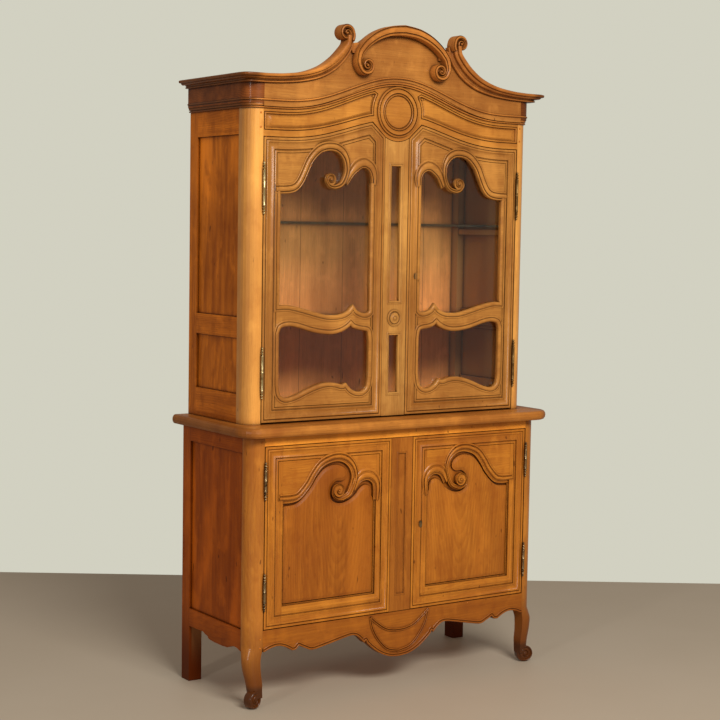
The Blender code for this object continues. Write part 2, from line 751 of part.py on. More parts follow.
def lobe_line():
    """Lower edge of the middle lobe, from its right end to its left one."""
    edge = UPPER_STILE_HALF_WIDTH + DOOR_GAP / 2
    angle = math.acos(edge / LOBE_RADIUS)
    line = []
    for k in range(LOBE_STEPS + 1):
        turn = -angle + (2 * angle - math.pi) * k / LOBE_STEPS
        x = LOBE_RADIUS * math.cos(turn)
        line.append((x, MEDALLION_HEIGHT + LOBE_RADIUS * math.sin(turn)))
    return line


def corner_stations(half_width, front):
    """Places and outward directions from the back of the left side to the start of its front."""
    stations = [(Vector((-half_width, BACK)), Vector((-1, 0)))]
    centre = Vector((CORNER_RADIUS - half_width, front + CORNER_RADIUS))
    for k in range(POST_ARC_STEPS + 1):
        angle = math.pi / 2 * k / POST_ARC_STEPS
        out = Vector((-math.cos(angle), -math.sin(angle)))
        stations.append((centre + out * CORNER_RADIUS, out))
    return stations


def wrapped_band(line, profile, height, scales):
    """A moulding that runs along the left side, round the corner and then along a line on the front."""
    rings = []
    for place, out in corner_stations(UPPER_HALF, UPPER_FRONT):
        ring = []
        for up, forward in profile:
            spot = place + out * forward
            ring.append(Vector((spot.x, spot.y, height + up)))
        rings.append(ring)
    for point, normal, scale in zip(line[1:], left_normals(line)[1:], scales[1:]):
        ring = []
        for up, forward in profile:
            spot = point + normal * up * scale
            ring.append(Vector((spot.x, UPPER_FRONT - forward, spot.y)))
        rings.append(ring)
    return rings


ARCHITRAVE_SHARES = (
    # height across the band, projection
    (-0.50, 0.0), (-0.50, 0.35), (-0.22, 0.62), (-0.16, 0.80), (0.12, 0.84), (0.20, 1.00),
    (0.50, 0.92), (0.50, 0.0),
)


def architrave_moulding(materials):
    profile = [
        (ARCHITRAVE_HEIGHT * up, SEAT_GAP + ARCHITRAVE_PROJECTION * out) for up, out in ARCHITRAVE_SHARES
    ]
    start = -CORNER_START
    line = [Vector(point) for point in swept(start, 0, FRIEZE_JOINT_END, FRIEZE_JOINT_RISE, SWEEP_STEPS // 2)]
    scales = [1 - (1 - ARCHITRAVE_MIDDLE_SHARE) * sweep_rise(point.x) for point in line]
    left = wrapped_band(line, profile, FRIEZE_JOINT_END, scales)
    right = [[Vector((-p.x, p.y, p.z)) for p in ring] for ring in reversed(left[:-1])]
    mesh = skin(left + right)
    return make_object("architrave_moulding", mesh, materials["frame_wood"])


CORNICE_SHARES = (
    # height across the band, projection
    (0.0, 0.0), (0.0, 0.30), (0.20, 0.46), (0.54, 0.82), (0.60, 1.00), (1.0, 1.00), (1.0, 0.0),
)
WING_IN = 0.201
WING_LINE = (
    # lower edge of a wing: share of the way out to the corner, rise, width of the band
    (1.000, 0.0000, 0.0275), (0.809, 0.0030, 0.0285), (0.577, 0.0120, 0.0320), (0.362, 0.0310, 0.0385),
    (0.194, 0.0630, 0.0430), (0.078, 0.1020, 0.0430), (0.020, 0.1350, 0.0400), (0.000, 0.1690, 0.0400),
)
VOLUTE_EYE = (0.243, 0.182)
VOLUTE_TURNS = ((225, 0.0320), (180, 0.0265), (90, 0.0235), (0, 0.0210), (-90, 0.0160), (-150, 0.0120))
VOLUTE_EYE_RADIUS = 0.0120
ARCH_LINE = ((0.000, 0.2100), (0.060, 0.2030), (0.115, 0.1825), (0.160, 0.1510), (0.184, 0.1220))
ARCH_HALF_WIDTH = 0.0180
ARCH_END_SHARES = (0.65, 0.62, 0.28)
ARCH_EYE = (0.157, 0.080)
ARCH_TURNS = ((32, 0.0390), (-12, 0.0290), (-80, 0.0250), (-180, 0.0225), (-270, 0.0170), (-330, 0.0135))
ARCH_EYE_RADIUS = 0.0095
CORNICE_CORE_RADIUS = 0.0182
CORNICE_CORE_SHARE = 0.8
SHOULDER_SHARE = 0.7
SHOULDER_LINE = ((0.160, 0.1370), (0.214, 0.1370), (0.222, 0.1590), (0.190, 0.1650), (0.168, 0.1610))
VOLUTE_HALF_WIDTHS = (0.0085, 0.0045)
EYE_SHARES = (
    # radius, projection
    (1.0, 0.90), (0.62, 1.04),
)
SCROLL_PROFILE_SHARES = (
    # across the band, projection
    (-1.0, 0.0), (-1.0, 0.84), (-0.40, 0.96), (0.50, 1.0), (1.0, 0.88), (1.0, 0.0),
)


def wing_place(share):
    """Place on a wing, from its inner end to the corner of the case."""
    return WING_IN + (CORNER_START - WING_IN) * share


def raised(line):
    """Points over the foot of the cornice."""
    return [Vector((x, CORNICE_BOTTOM + rise)) for x, rise in line]


def cornice_wing(side):
    """One side of the cornice: along the side, round the corner and up in a hollow curve to its volute."""
    back = SEAT_GAP + BACK_STEP
    profile = [(CORNICE_HEIGHT * up, max(back, CORNICE_PROJECTION * out)) for up, out in CORNICE_SHARES]
    points = smooth_line([(-wing_place(share), CORNICE_BOTTOM + rise) for share, rise, _ in WING_LINE], 2)
    widths = smooth_line([(share, width) for share, _, width in WING_LINE], 2)
    scales = [width.y / CORNICE_HEIGHT for width in widths]
    rings = wrapped_band(points, profile, CORNICE_BOTTOM, scales)
    return skin([[Vector((-side * p.x, p.y, p.z)) for p in ring] for ring in rings])


def scroll_band(line, half_widths, side, lift):
    """A scrolled moulding; lift is how far its back stands in front of the others' backs."""
    span = CORNICE_PROJECTION - lift
    profile = [(across, SEAT_GAP + lift + span * out) for across, out in SCROLL_PROFILE_SHARES]
    widths = [(half, half) for half in half_widths]
    return band(line, profile, UPPER_FRONT, widths=widths, side=side)


def cornice_volute(side):
    line = spiral(raised([VOLUTE_EYE])[0], VOLUTE_TURNS, 3)
    count = len(line) - 1
    first, last = VOLUTE_HALF_WIDTHS
    halves = [first + (last - first) * k / count for k in range(count + 1)]
    return scroll_band(line, halves, side, 2 * BACK_STEP)


def arch_scroll(side):
    """Half of the arched moulding, from just past the middle to its inward scroll."""
    top = smooth_line(raised(ARCH_LINE), 2)
    line = top + spiral(raised([ARCH_EYE])[0], ARCH_TURNS, 3)
    arch_count = len(top)
    low, scroll, tip = ARCH_END_SHARES
    halves = []
    for k in range(len(line)):
        if k < arch_count:
            halves.append(ARCH_HALF_WIDTH * (1 + (low - 1) * k / arch_count))
        else:
            left = (k - arch_count) / (len(line) - arch_count - 1)
            halves.append(ARCH_HALF_WIDTH * (scroll + (tip - scroll) * left))
    return line, halves


def eye_button(centre, side, radius, projection):
    place = raised([centre])[0]
    profile = [(radius, SEAT_GAP + 5 * BACK_STEP)]
    profile += [(radius * size, projection * out) for size, out in EYE_SHARES]
    return turned(profile, (side * place.x, UPPER_FRONT, place.y), FORWARD, SMALL_STEPS)


def cornice_moulding(materials):
    line, halves = arch_scroll(1)
    mirrored = [Vector((-point.x, point.y)) for point in line[:0:-1]]
    whole = mirrored + line
    mesh = scroll_band(whole, halves[:0:-1] + halves, 1, 0)
    cornice = make_object("cornice_moulding", mesh, materials["frame_wood"])
    for word, side in SIDES.items():
        helper(cornice, cornice_wing(side), "UNION", f"wing_{word}")
        helper(cornice, cornice_volute(side), "UNION", f"volute_{word}")
        radius = CORNICE_CORE_RADIUS
        core = ((radius, SEAT_GAP + 3 * BACK_STEP), (radius, CORNICE_PROJECTION * CORNICE_CORE_SHARE))
        eye_place = raised([VOLUTE_EYE])[0]
        centre = (side * eye_place.x, UPPER_FRONT, eye_place.y)
        helper(cornice, turned(core, centre, FORWARD, BUTTON_STEPS), "UNION", f"volute_core_{word}")
        shoulder = [(side * x, z) for x, z in raised(SHOULDER_LINE)]
        shoulder_back = UPPER_FRONT - SEAT_GAP - 4 * BACK_STEP
        block = plate(shoulder, UPPER_FRONT - CORNICE_PROJECTION * SHOULDER_SHARE, shoulder_back)
        helper(cornice, block, "UNION", f"shoulder_{word}")
        eye = eye_button(VOLUTE_EYE, side, VOLUTE_EYE_RADIUS, CORNICE_PROJECTION)
        helper(cornice, eye, "UNION", f"volute_eye_{word}")
        eye = eye_button(ARCH_EYE, side, ARCH_EYE_RADIUS, CORNICE_PROJECTION)
        helper(cornice, eye, "UNION", f"arch_eye_{word}")
    return cornice


CREST_WING = (
    # upper edge of the board behind a wing: share of the way out to the corner, rise
    (1.000, 0.014), (0.809, 0.016), (0.577, 0.027), (0.362, 0.049), (0.194, 0.083), (0.101, 0.117),
    (0.061, 0.145),
)
CREST_ARCH = (
    # upper edge behind the arch: place from the middle, rise
    (0.196, 0.149), (0.172, 0.153), (0.140, 0.175), (0.100, 0.195), (0.050, 0.211), (0.000, 0.216),
)


def crest_board(materials):
    half = UPPER_POST_IN - SEAT_GAP
    low = swept(-half, half, FRIEZE_JOINT_END + SEAT_GAP, FRIEZE_JOINT_RISE, SWEEP_STEPS)
    wing = raised([(wing_place(share), rise) for share, rise in CREST_WING])
    right = [(min(x, half), z) for x, z in wing + raised(CREST_ARCH)]
    outline = low + right + [(-x, z) for x, z in reversed(right[:-1])]
    mesh = plate(outline, UPPER_FRONT, UPPER_FRONT + CREST_THICKNESS)
    return make_object("crest_board", mesh, materials["frame_wood"])


def glass_shelf(materials):
    half = UPPER_HALF - REAR_POST_WIDTH - SEAT_GAP
    front_y = UPPER_FRONT + UPPER_POST_DEPTH + SEAT_GAP
    side = UPPER_HALF - FRAME_THICKNESS - SEAT_GAP
    rear = BACK - REAR_POST_DEPTH - SEAT_GAP
    back_y = BACK - BACK_RECESS - BACK_THICKNESS - SEAT_GAP
    right = [(side, front_y), (side, rear), (half, rear), (half, back_y)]
    outline = right + [(-x, y) for x, y in reversed(right)]
    low = GLASS_SHELF_TOP - GLASS_SHELF_THICKNESS
    return make_object("glass_shelf", plate(outline, low, GLASS_SHELF_TOP, plane="XY"), materials["glass"])


def build_upper_case(materials):
    front_y = UPPER_FRONT + UPPER_POST_DEPTH
    openings = {
        "low": (LOW_PANEL_BOTTOM, LOW_PANEL_TOP),
        "tall": (TALL_PANEL_BOTTOM, TALL_PANEL_TOP),
    }
    for word, side in SIDES.items():
        upper_front_post(f"upper_front_post_{word}", side, materials)
        frame = side_frame(
            f"upper_side_frame_{word}", side, UPPER_HALF, front_y + SEAT_GAP, UPPER_FOOT, UPPER_TOP,
            list(openings.values()), UPPER_FOOT, False, materials,
        )
        wood_seat = WOOD_SHELF_TOP - BOARD_THICKNESS - SEAT_GAP
        glass_seat = GLASS_SHELF_TOP - GLASS_SHELF_THICKNESS - SEAT_GAP
        add_cleat(frame, side, UPPER_HALF, front_y + SEAT_GAP, wood_seat, 0)
        add_cleat(frame, side, UPPER_HALF, front_y + SEAT_GAP, glass_seat, 1)
        for level, (bottom, top) in openings.items():
            name = f"upper_{level}_panel_{word}"
            side_panel(name, side, UPPER_HALF, front_y, bottom, top, materials)
    board(
        "upper_bottom_board", UPPER_HALF, UPPER_POST_IN, front_y, UPPER_FRONT + DOOR_THICKNESS + DOOR_GAP,
        UPPER_FOOT + BOARD_THICKNESS, BOARD_THICKNESS, FRAME_THICKNESS, materials["inner_wood"],
    )
    board(
        "wooden_shelf", UPPER_HALF, UPPER_POST_IN, front_y, UPPER_FRONT + UPPER_SHELF_SETBACK,
        WOOD_SHELF_TOP, BOARD_THICKNESS, FRAME_THICKNESS, materials["inner_wood"],
    )
    board(
        "top_board", UPPER_HALF, UPPER_POST_IN, front_y, UPPER_FRONT + CREST_THICKNESS + SEAT_GAP,
        UPPER_TOP - TOP_BOARD_DROP, BOARD_THICKNESS, FRAME_THICKNESS, materials["inner_wood"],
    )
    back_panel("upper_back_panel", UPPER_HALF, UPPER_FOOT, UPPER_TOP - SINK, materials)
    glass_shelf(materials)
    frieze_rail(materials)
    crest_board(materials)
    architrave_moulding(materials)
    cornice_moulding(materials)


# Doors, all worked out for the right-hand side and mirrored for the left one


BAND_LINE_SHARES = {
    # the S line over each opening, from the hinge stile: share across, share of the width above the spring
    "base": (
        (-0.035, 0.000), (0.100, 0.000), (0.182, 0.026), (0.272, 0.118), (0.326, 0.200), (0.403, 0.287),
        (0.497, 0.329), (0.589, 0.339), (0.668, 0.316), (0.734, 0.258), (0.765, 0.179), (0.758, 0.105),
    ),
    "upper": (
        (-0.035, 0.000), (0.077, 0.007), (0.153, 0.026), (0.204, 0.069), (0.243, 0.130), (0.279, 0.203),
        (0.316, 0.278), (0.364, 0.337), (0.421, 0.384), (0.481, 0.408), (0.547, 0.416), (0.613, 0.406),
        (0.672, 0.370), (0.714, 0.311), (0.731, 0.244), (0.728, 0.180),
    ),
}
BAND_EYE_SHARES = {"base": (0.594, 0.045), "upper": (0.547, 0.123)}
BAND_TURN_SHARES = {
    # angle round the eye in degrees, radius as a share of the opening's width
    "base": ((-12, 0.128), (-45, 0.094), (-90, 0.075), (-160, 0.063), (-270, 0.049), (-350, 0.037)),
    "upper": (
        (-8, 0.148), (-47, 0.097), (-80, 0.074), (-125, 0.056), (-180, 0.050), (-270, 0.042), (-340, 0.034),
    ),
}
ARCH_LINE_SHARES = {
    # the small arch beside the volute
    "base": ((0.782, 0.030), (0.826, 0.113), (0.905, 0.140), (0.972, 0.108), (1.000, 0.050), (1.000, -0.070)),
    "upper": ((0.760, 0.110), (0.806, 0.190), (0.900, 0.261), (0.972, 0.235), (1.000, 0.165), (1.000, 0.085)),
}
MIDDLE_RAIL_SHARES = (
    (0.000, 0.000), (0.110, 0.002), (0.257, -0.028), (0.478, -0.100), (0.602, -0.101), (0.700, -0.060),
    (0.779, -0.006), (0.840, -0.060), (0.900, -0.073), (1.000, -0.015),
)
LOW_PANE_TOP_SHARES = (
    (0.000, -0.080), (0.035, -0.015), (0.127, 0.002), (0.280, -0.030), (0.503, -0.095), (0.640, -0.080),
    (0.754, -0.008), (0.880, -0.073), (0.960, -0.085), (1.000, -0.160),
)
LOW_PANE_BOTTOM_SHARES = (
    (1.000, 0.050), (0.965, -0.070), (0.880, -0.110), (0.800, -0.085), (0.725, -0.020), (0.640, 0.010),
    (0.530, 0.022), (0.370, 0.000), (0.250, -0.045), (0.120, -0.110), (0.030, -0.080), (0.000, 0.020),
)
RIM_SHARES = (
    # across the band, negative towards the opening, and height in front of the door's face
    (-1.0, BAND_GROOVE), (-0.5, BAND_PROUD), (0.2, BAND_GROOVE),
)
OUTER_BEAD_SHARE = 0.55
ROOT_SHARE = 0.4
STICKING_DEEP = 0.0129
STICKING_PROUD = 0.005
STICKING_SHARES = (0.8, 1.2)
ARCH_WIDTH_SHARE = 0.8
ARCH_HEIGHT_SHARE = 0.96
EDGE_BEAD_SHARES = (
    # across the bead, height
    (-0.60, 1.0), (-0.15, 0.35), (0.40, 1.0),
)
EDGE_PROFILE = (
    (-EDGE_BEAD_HALF_WIDTH, -SINK),
    *((EDGE_BEAD_HALF_WIDTH * across, EDGE_BEAD_PROUD * up) for across, up in EDGE_BEAD_SHARES),
    (EDGE_BEAD_HALF_WIDTH, -SINK),
)


class Opening:
    """Turns shares of an opening into places: x runs from the hinge stile at 0 to the meeting stile at 1."""

    def __init__(self, outer, inner):
        self.outer = outer
        self.width = outer - inner

    def places(self, shares, height):
        return [Vector((self.outer - self.width * a, height + self.width * b)) for a, b in shares]


def rim_profile(opening):
    """Section of the S band: a small bead next to the opening and a broad one outside it."""
    inner = opening.width * BAND_INNER_SHARE
    outer = opening.width * BAND_OUTER_SHARE
    beads = [(inner * across, height) for across, height in RIM_SHARES]
    beads += [(outer * OUTER_BEAD_SHARE, BAND_PROUD), (outer, BAND_GROOVE * ROOT_SHARE), (outer, -SINK)]
    return flip([(-inner, -BAND_DEEP), *beads, (inner * ROOT_SHARE, -BAND_DEEP)])


def arch_profile(opening):
    """Section of the small arch: as the S band's, a little narrower and flatter."""
    scaled = []
    for offset, height in rim_profile(opening):
        scaled.append((offset * ARCH_WIDTH_SHARE, height * ARCH_HEIGHT_SHARE))
    return scaled


def sticking_profile(opening):
    """Section of the plain moulding round the rest of an opening: two small beads."""
    inner = opening.width * BAND_INNER_SHARE
    beads = [(inner * across, height) for across, height in RIM_SHARES]
    bead, edge = (inner * share for share in STICKING_SHARES)
    beads += [(bead, STICKING_PROUD), (edge, -SINK)]
    return flip([(-inner, -STICKING_DEEP), *beads, (inner * ROOT_SHARE, -STICKING_DEEP)])


NARROW_POINTS = 4
NARROW_STEP_SHARE = 0.22
NARROW_END_SHARE = 0.30
OUTER_TAPER_SHARE = 0.35
INNER_TAPER_SHARE = 0.50


def s_band(opening, kind, spring):
    """The S line that ends in a volute: its points and the widths of the band on either side."""
    start = opening.places(BAND_LINE_SHARES[kind], spring)
    across, up = BAND_EYE_SHARES[kind]
    eye = (opening.outer - opening.width * across, spring + opening.width * up)
    turns = [(180 - angle, opening.width * radius) for angle, radius in BAND_TURN_SHARES[kind]]
    line = start + spiral(eye, turns, 2)
    widths = []
    for k in range(len(line)):
        past = max(0.0, (k - len(start)) / (len(line) - len(start)))
        narrowed = 1.0 - NARROW_STEP_SHARE * max(0, k - len(start) + NARROW_POINTS)
        outside = max(NARROW_END_SHARE, narrowed)
        widths.append((outside * (1 - OUTER_TAPER_SHARE * past), 1 - INNER_TAPER_SHARE * past))
    return line, widths, eye


def flip(profile):
    """The right-hand doors run from right to left, so what was to the left of the line is to its right."""
    return [(-offset, height) for offset, height in profile]


VOLUTE_CORE_SHARE = 0.056
CORE_PROUD = 0.0026
CORE_DEEP_SHARE = 0.94
BUTTON_DEEP_SHARE = 0.90


def add_bands(door, opening, kind, spring, front, side):
    """The carved S band with its volute, and the small arch beside it."""
    line, widths, eye = s_band(opening, kind, spring)
    swapped = [(inner, outer) for outer, inner in widths]
    helper(door, band(line, rim_profile(opening), front, widths=swapped, side=side), "UNION", "s_band")
    arch = smooth_line(opening.places(ARCH_LINE_SHARES[kind], spring), 2)
    helper(door, band(arch, arch_profile(opening), front, side=side), "UNION", "small_arch")
    core = opening.width * VOLUTE_CORE_SHARE
    centre = (side * eye[0], front, eye[1])
    disc = ((core, -BAND_DEEP * CORE_DEEP_SHARE), (core, CORE_PROUD))
    helper(door, turned(disc, centre, FORWARD, BUTTON_STEPS), "UNION", "volute_core")
    eye_radius = opening.width * EYE_SHARE
    button = (
        (eye_radius, -BAND_DEEP * BUTTON_DEEP_SHARE), (eye_radius, BAND_PROUD), (eye_radius / 2, EYE_PROUD),
    )
    helper(door, turned(button, centre, FORWARD, SMALL_STEPS), "UNION", "volute_eye")


def top_outline(opening, kind, spring):
    """Upper edge of an opening, which lies under the ridge of the carved bands."""
    crown = between(opening.places(BAND_LINE_SHARES[kind], spring))
    arch = between(opening.places(ARCH_LINE_SHARES[kind], spring))
    return [Vector((opening.outer, spring)), *crown[1:], *arch[1:]]


def between(points):
    """A smooth line through the points, sampled between them, so that it misses a band's corners."""
    return smooth_line(points, 4)[1::2]


def cut_corners(points):
    """Each inner point of the run as two, a little way off on both sides, so that no mitre meets it."""
    cut = []
    for before, corner, after in zip(points, points[1:], points[2:]):
        for other in (before, after):
            cut.append(corner + (other - corner).normalized() * CORNER_CUT)
    return cut


def tuples(points, side):
    return [(side * x, z) for x, z in points]


def add_edge_bead(door, outline, front, side):
    """The double bead that runs round the face of a door, a little inside its edge."""
    line = [Vector(point) for point in outline]
    normals = left_normals(line, True)
    inset = [point + normal * EDGE_BEAD_INSET for point, normal in zip(line, normals)]
    helper(door, band(inset, EDGE_PROFILE, front, closed=True, side=side), "UNION", "edge_bead")


def cut_keyhole(door, x, height, front):
    """A flat seat for the escutcheon, and the hole for the key tube behind it."""
    width, tall = (size / 2 + SEAT_GAP for size in ESCUTCHEON_SIZE)
    seat = oval(x, height, width, tall)
    helper(door, plate(seat, front - CUT_OVERRUN, front + SEAT_SINK), "DIFFERENCE", "escutcheon_seat")
    radius = KEY_TUBE_RADIUS + SEAT_GAP
    hole = ((radius, -DOOR_THICKNESS - CUT_OVERRUN), (radius, CUT_OVERRUN))
    helper(door, turned(hole, (x, front, height), FORWARD, BUTTON_STEPS), "DIFFERENCE", "key_tube_hole")


OVAL_STEPS = 16


def oval(x, height, half_width, half_height):
    turns = [2 * math.pi * k / OVAL_STEPS for k in range(OVAL_STEPS)]
    return [(x + half_width * math.cos(turn), height + half_height * math.sin(turn)) for turn in turns]


FIELD_TOP_SHARES = (
    (0.060, -0.075), (0.150, -0.062), (0.230, -0.010), (0.315, 0.078), (0.372, 0.158), (0.441, 0.228),
    (0.516, 0.258), (0.590, 0.258), (0.655, 0.225), (0.672, 0.180), (0.640, 0.150), (0.570, 0.150),
    (0.510, 0.105), (0.488, 0.040), (0.500, -0.035), (0.560, -0.082), (0.640, -0.092), (0.720, -0.070),
    (0.790, -0.025), (0.840, 0.030), (0.890, 0.055), (0.935, 0.030), (0.940, -0.060),
)
FIELD_MARGIN = 0.022
FIELD_BEVEL = 0.011
FIELD_SET_BACK = 0.006


def panel_field(opening, bottom, back_y, front, side):
    """The raised middle of a door panel: its top follows the S line, and its edge slopes down all round."""
    edge = opening.outer - FIELD_MARGIN
    near = opening.outer - opening.width + FIELD_MARGIN
    low = bottom + FIELD_MARGIN
    top = opening.places(FIELD_TOP_SHARES, BASE_SPRING)
    loop = [Vector((near, low)), Vector((edge, low))] + top
    raised = [point + normal * FIELD_BEVEL for point, normal in zip(loop, left_normals(loop, True))]
    rings = []
    for ring, y in ((loop, back_y + SINK), (loop, back_y), (raised, front + FIELD_SET_BACK)):
        rings.append([Vector((side * x, y, z)) for x, z in ring])
    return skin(rings)


def lower_door(word, side, empty, materials):
    front = FRONT
    inner = BASE_STILE_HALF_WIDTH + (SEAT_GAP if side < 0 else DOOR_GAP)
    outline = [
        (inner, BASE_DOOR_BOTTOM), (BASE_DOOR_OUT, BASE_DOOR_BOTTOM),
        (BASE_DOOR_OUT, BASE_DOOR_TOP), (inner, BASE_DOOR_TOP),
    ]
    opening = Opening(BASE_DOOR_OUT - BASE_HINGE_STILE, inner + BASE_MEETING_STILE)
    bottom = BASE_DOOR_BOTTOM + BASE_BOTTOM_RAIL
    inside = opening.outer - opening.width
    crown = top_outline(opening, "base", BASE_SPRING)
    corners = [Vector((inside, bottom)), Vector((opening.outer, bottom))]
    hole = crown + cut_corners([crown[-1], *corners, crown[0]])
    mesh = plate(tuples(outline, side), front, front + DOOR_THICKNESS, [tuples(hole, side)])
    name = f"lower_{word}_door"
    door = make_object(f"{name}_frame", mesh, materials["frame_wood"], empty)
    lap = PANEL_POCKET_LAP
    back_y = front + DOOR_THICKNESS - PANEL_POCKET_DEPTH
    wide = sorted((side * (inside - lap), side * (opening.outer + lap)))
    top = BASE_DOOR_TOP - EDGE_BEAD_INSET
    pocket = box((wide[0], back_y, bottom - lap), (wide[1], front + DOOR_THICKNESS + CUT_OVERRUN, top))
    helper(door, pocket, "DIFFERENCE", "panel_pocket")
    add_bands(door, opening, "base", BASE_SPRING, front, side)
    spring = BASE_SPRING + SINK
    near_end = spring - opening.width * BAND_OUTER_SHARE
    sticking = [(inside, near_end), (inside, bottom), (opening.outer, bottom), (opening.outer, spring)]
    helper(door, band(sticking, sticking_profile(opening), front, side=side), "UNION", "sticking")
    add_edge_bead(door, outline, front, side)
    low = (wide[0] + SEAT_GAP, back_y + SEAT_GAP, bottom - lap + SEAT_GAP)
    high = (wide[1] - SEAT_GAP, front + DOOR_THICKNESS, top - SEAT_GAP)
    panel = make_object(f"{name}_panel", box(low, high), materials["panel_wood"], empty)
    helper(panel, panel_field(opening, bottom, back_y + SEAT_GAP, front, side), "UNION", "field")
    return door, inner


def upper_door(word, side, empty, materials):
    front = UPPER_FRONT
    inner = UPPER_STILE_HALF_WIDTH + (SEAT_GAP if side < 0 else DOOR_GAP)
    head = swept(UPPER_DOOR_OUT, lobe_reach() + BAND_GROOVE, DOOR_TOP_END, DOOR_TOP_RISE, SWEEP_STEPS // 2)
    chamfer = (inner, lobe_line()[0][1] - DOOR_GAP)
    outline = [(inner, UPPER_DOOR_BOTTOM), (UPPER_DOOR_OUT, UPPER_DOOR_BOTTOM), *head, chamfer]
    opening = Opening(UPPER_DOOR_OUT - UPPER_HINGE_STILE, inner + UPPER_MEETING_STILE)
    inside = opening.outer - opening.width
    middle = opening.places(MIDDLE_RAIL_SHARES, MIDDLE_RAIL_TOP)[::-1]
    corners = [Vector((inside, middle[0].y)), Vector((opening.outer, middle[-1].y))]
    crown = top_outline(opening, "upper", UPPER_SPRING)
    sill = between(middle)
    hole = crown + cut_corners([crown[-1], corners[0], sill[0]]) + sill
    hole += cut_corners([sill[-1], corners[1], crown[0]])
    low_top = opening.places(LOW_PANE_TOP_SHARES, LOW_PANE_TOP_HEIGHT)
    low_bottom = opening.places(LOW_PANE_BOTTOM_SHARES, LOW_PANE_BOTTOM_HEIGHT)
    low_rim = low_bottom + low_top
    low_hole = between(low_bottom) + between(low_top)
    holes = [tuples(hole, side), tuples(low_hole, side)]
    name = f"upper_{word}_door"
    mesh = plate(tuples(outline, side), front, front + DOOR_THICKNESS, holes)
    door = make_object(f"{name}_frame", mesh, materials["frame_wood"], empty)
    lap = GLASS_POCKET_LAP
    back_y = front + DOOR_THICKNESS - GLASS_POCKET_DEPTH
    wide = sorted((side * (inside - lap), side * (opening.outer + lap)))
    bottom = min(point.y for point in low_bottom) - lap
    top = max(point.y for point in hole) + lap
    pocket = box((wide[0], back_y, bottom), (wide[1], front + DOOR_THICKNESS + CUT_OVERRUN, top))
    helper(door, pocket, "DIFFERENCE", "glass_pocket")
    add_bands(door, opening, "upper", UPPER_SPRING, front, side)
    near_end = Vector((inside, UPPER_SPRING + opening.width * BAND_OUTER_SHARE))
    sticking = [near_end, *middle, Vector((opening.outer, UPPER_SPRING + SINK))]
    helper(door, band(sticking, sticking_profile(opening), front, side=side), "UNION", "sticking")
    rim = band(low_rim, sticking_profile(opening), front, closed=True, side=side)
    helper(door, rim, "UNION", "low_sticking")
    add_edge_bead(door, outline, front, side)
    low = (wide[0] + SEAT_GAP, back_y + SEAT_GAP, bottom + SEAT_GAP)
    high = (wide[1] - SEAT_GAP, back_y + SEAT_GAP + PANE_THICKNESS, top - SEAT_GAP)
    make_object(f"{name}_glass", box(low, high), materials["glass"], empty)
    return door, inner


SLOT_HALF_WIDTH = 0.019
SLOT_BOTTOM_RAIL = 0.0782
LOW_SLOT_HEIGHT = 0.209
SLOT_BRIDGE = 0.1135
HIGH_SLOT_DROP = 0.075
LOW_SLOT = (UPPER_DOOR_BOTTOM + SLOT_BOTTOM_RAIL, UPPER_DOOR_BOTTOM + SLOT_BOTTOM_RAIL + LOW_SLOT_HEIGHT)
HIGH_SLOT = (LOW_SLOT[1] + SLOT_BRIDGE, DOOR_TOP_END - HIGH_SLOT_DROP)
ROSETTE_HEIGHT = LOW_SLOT[1] + SLOT_BRIDGE / 2
ROSETTE_SHARES = ((1.0, -0.10), (1.0, 0.08), (0.90, 0.16), (0.72, 0.08), (0.62, 0.12), (0.30, 0.24))
ROSETTE_RADIUS = 0.029
SLOT_PROFILE = (
    (-0.005, -0.004), (-0.005, 0.002), (0.0, 0.0035), (0.006, 0.003), (0.009, 0.0012), (0.011, -0.003),
    (0.003, -0.0034), (0.003, -0.004),
)
STILE_PANEL_HALF_WIDTH = 0.023
STILE_PANEL_INSETS = (0.061, 0.055)
ROSETTE_STEPS = 20


def rectangle(half_width, low, high):
    return [(-half_width, low), (half_width, low), (half_width, high), (-half_width, high)]


def lower_stile(empty, materials):
    """False centre post of the base; it closes with the left-hand door."""
    outline = rectangle(BASE_STILE_HALF_WIDTH, BASE_DOOR_BOTTOM, BASE_DOOR_TOP)
    mesh = plate(outline, FRONT, FRONT + DOOR_THICKNESS)
    stile = make_object("lower_centre_stile", mesh, materials["post_wood"], empty)
    low, high = STILE_PANEL_INSETS
    inset = rectangle(STILE_PANEL_HALF_WIDTH, BASE_DOOR_BOTTOM + low, BASE_DOOR_TOP - high)
    helper(stile, band(inset, flip(SLOT_PROFILE), FRONT, closed=True), "UNION", "moulding")


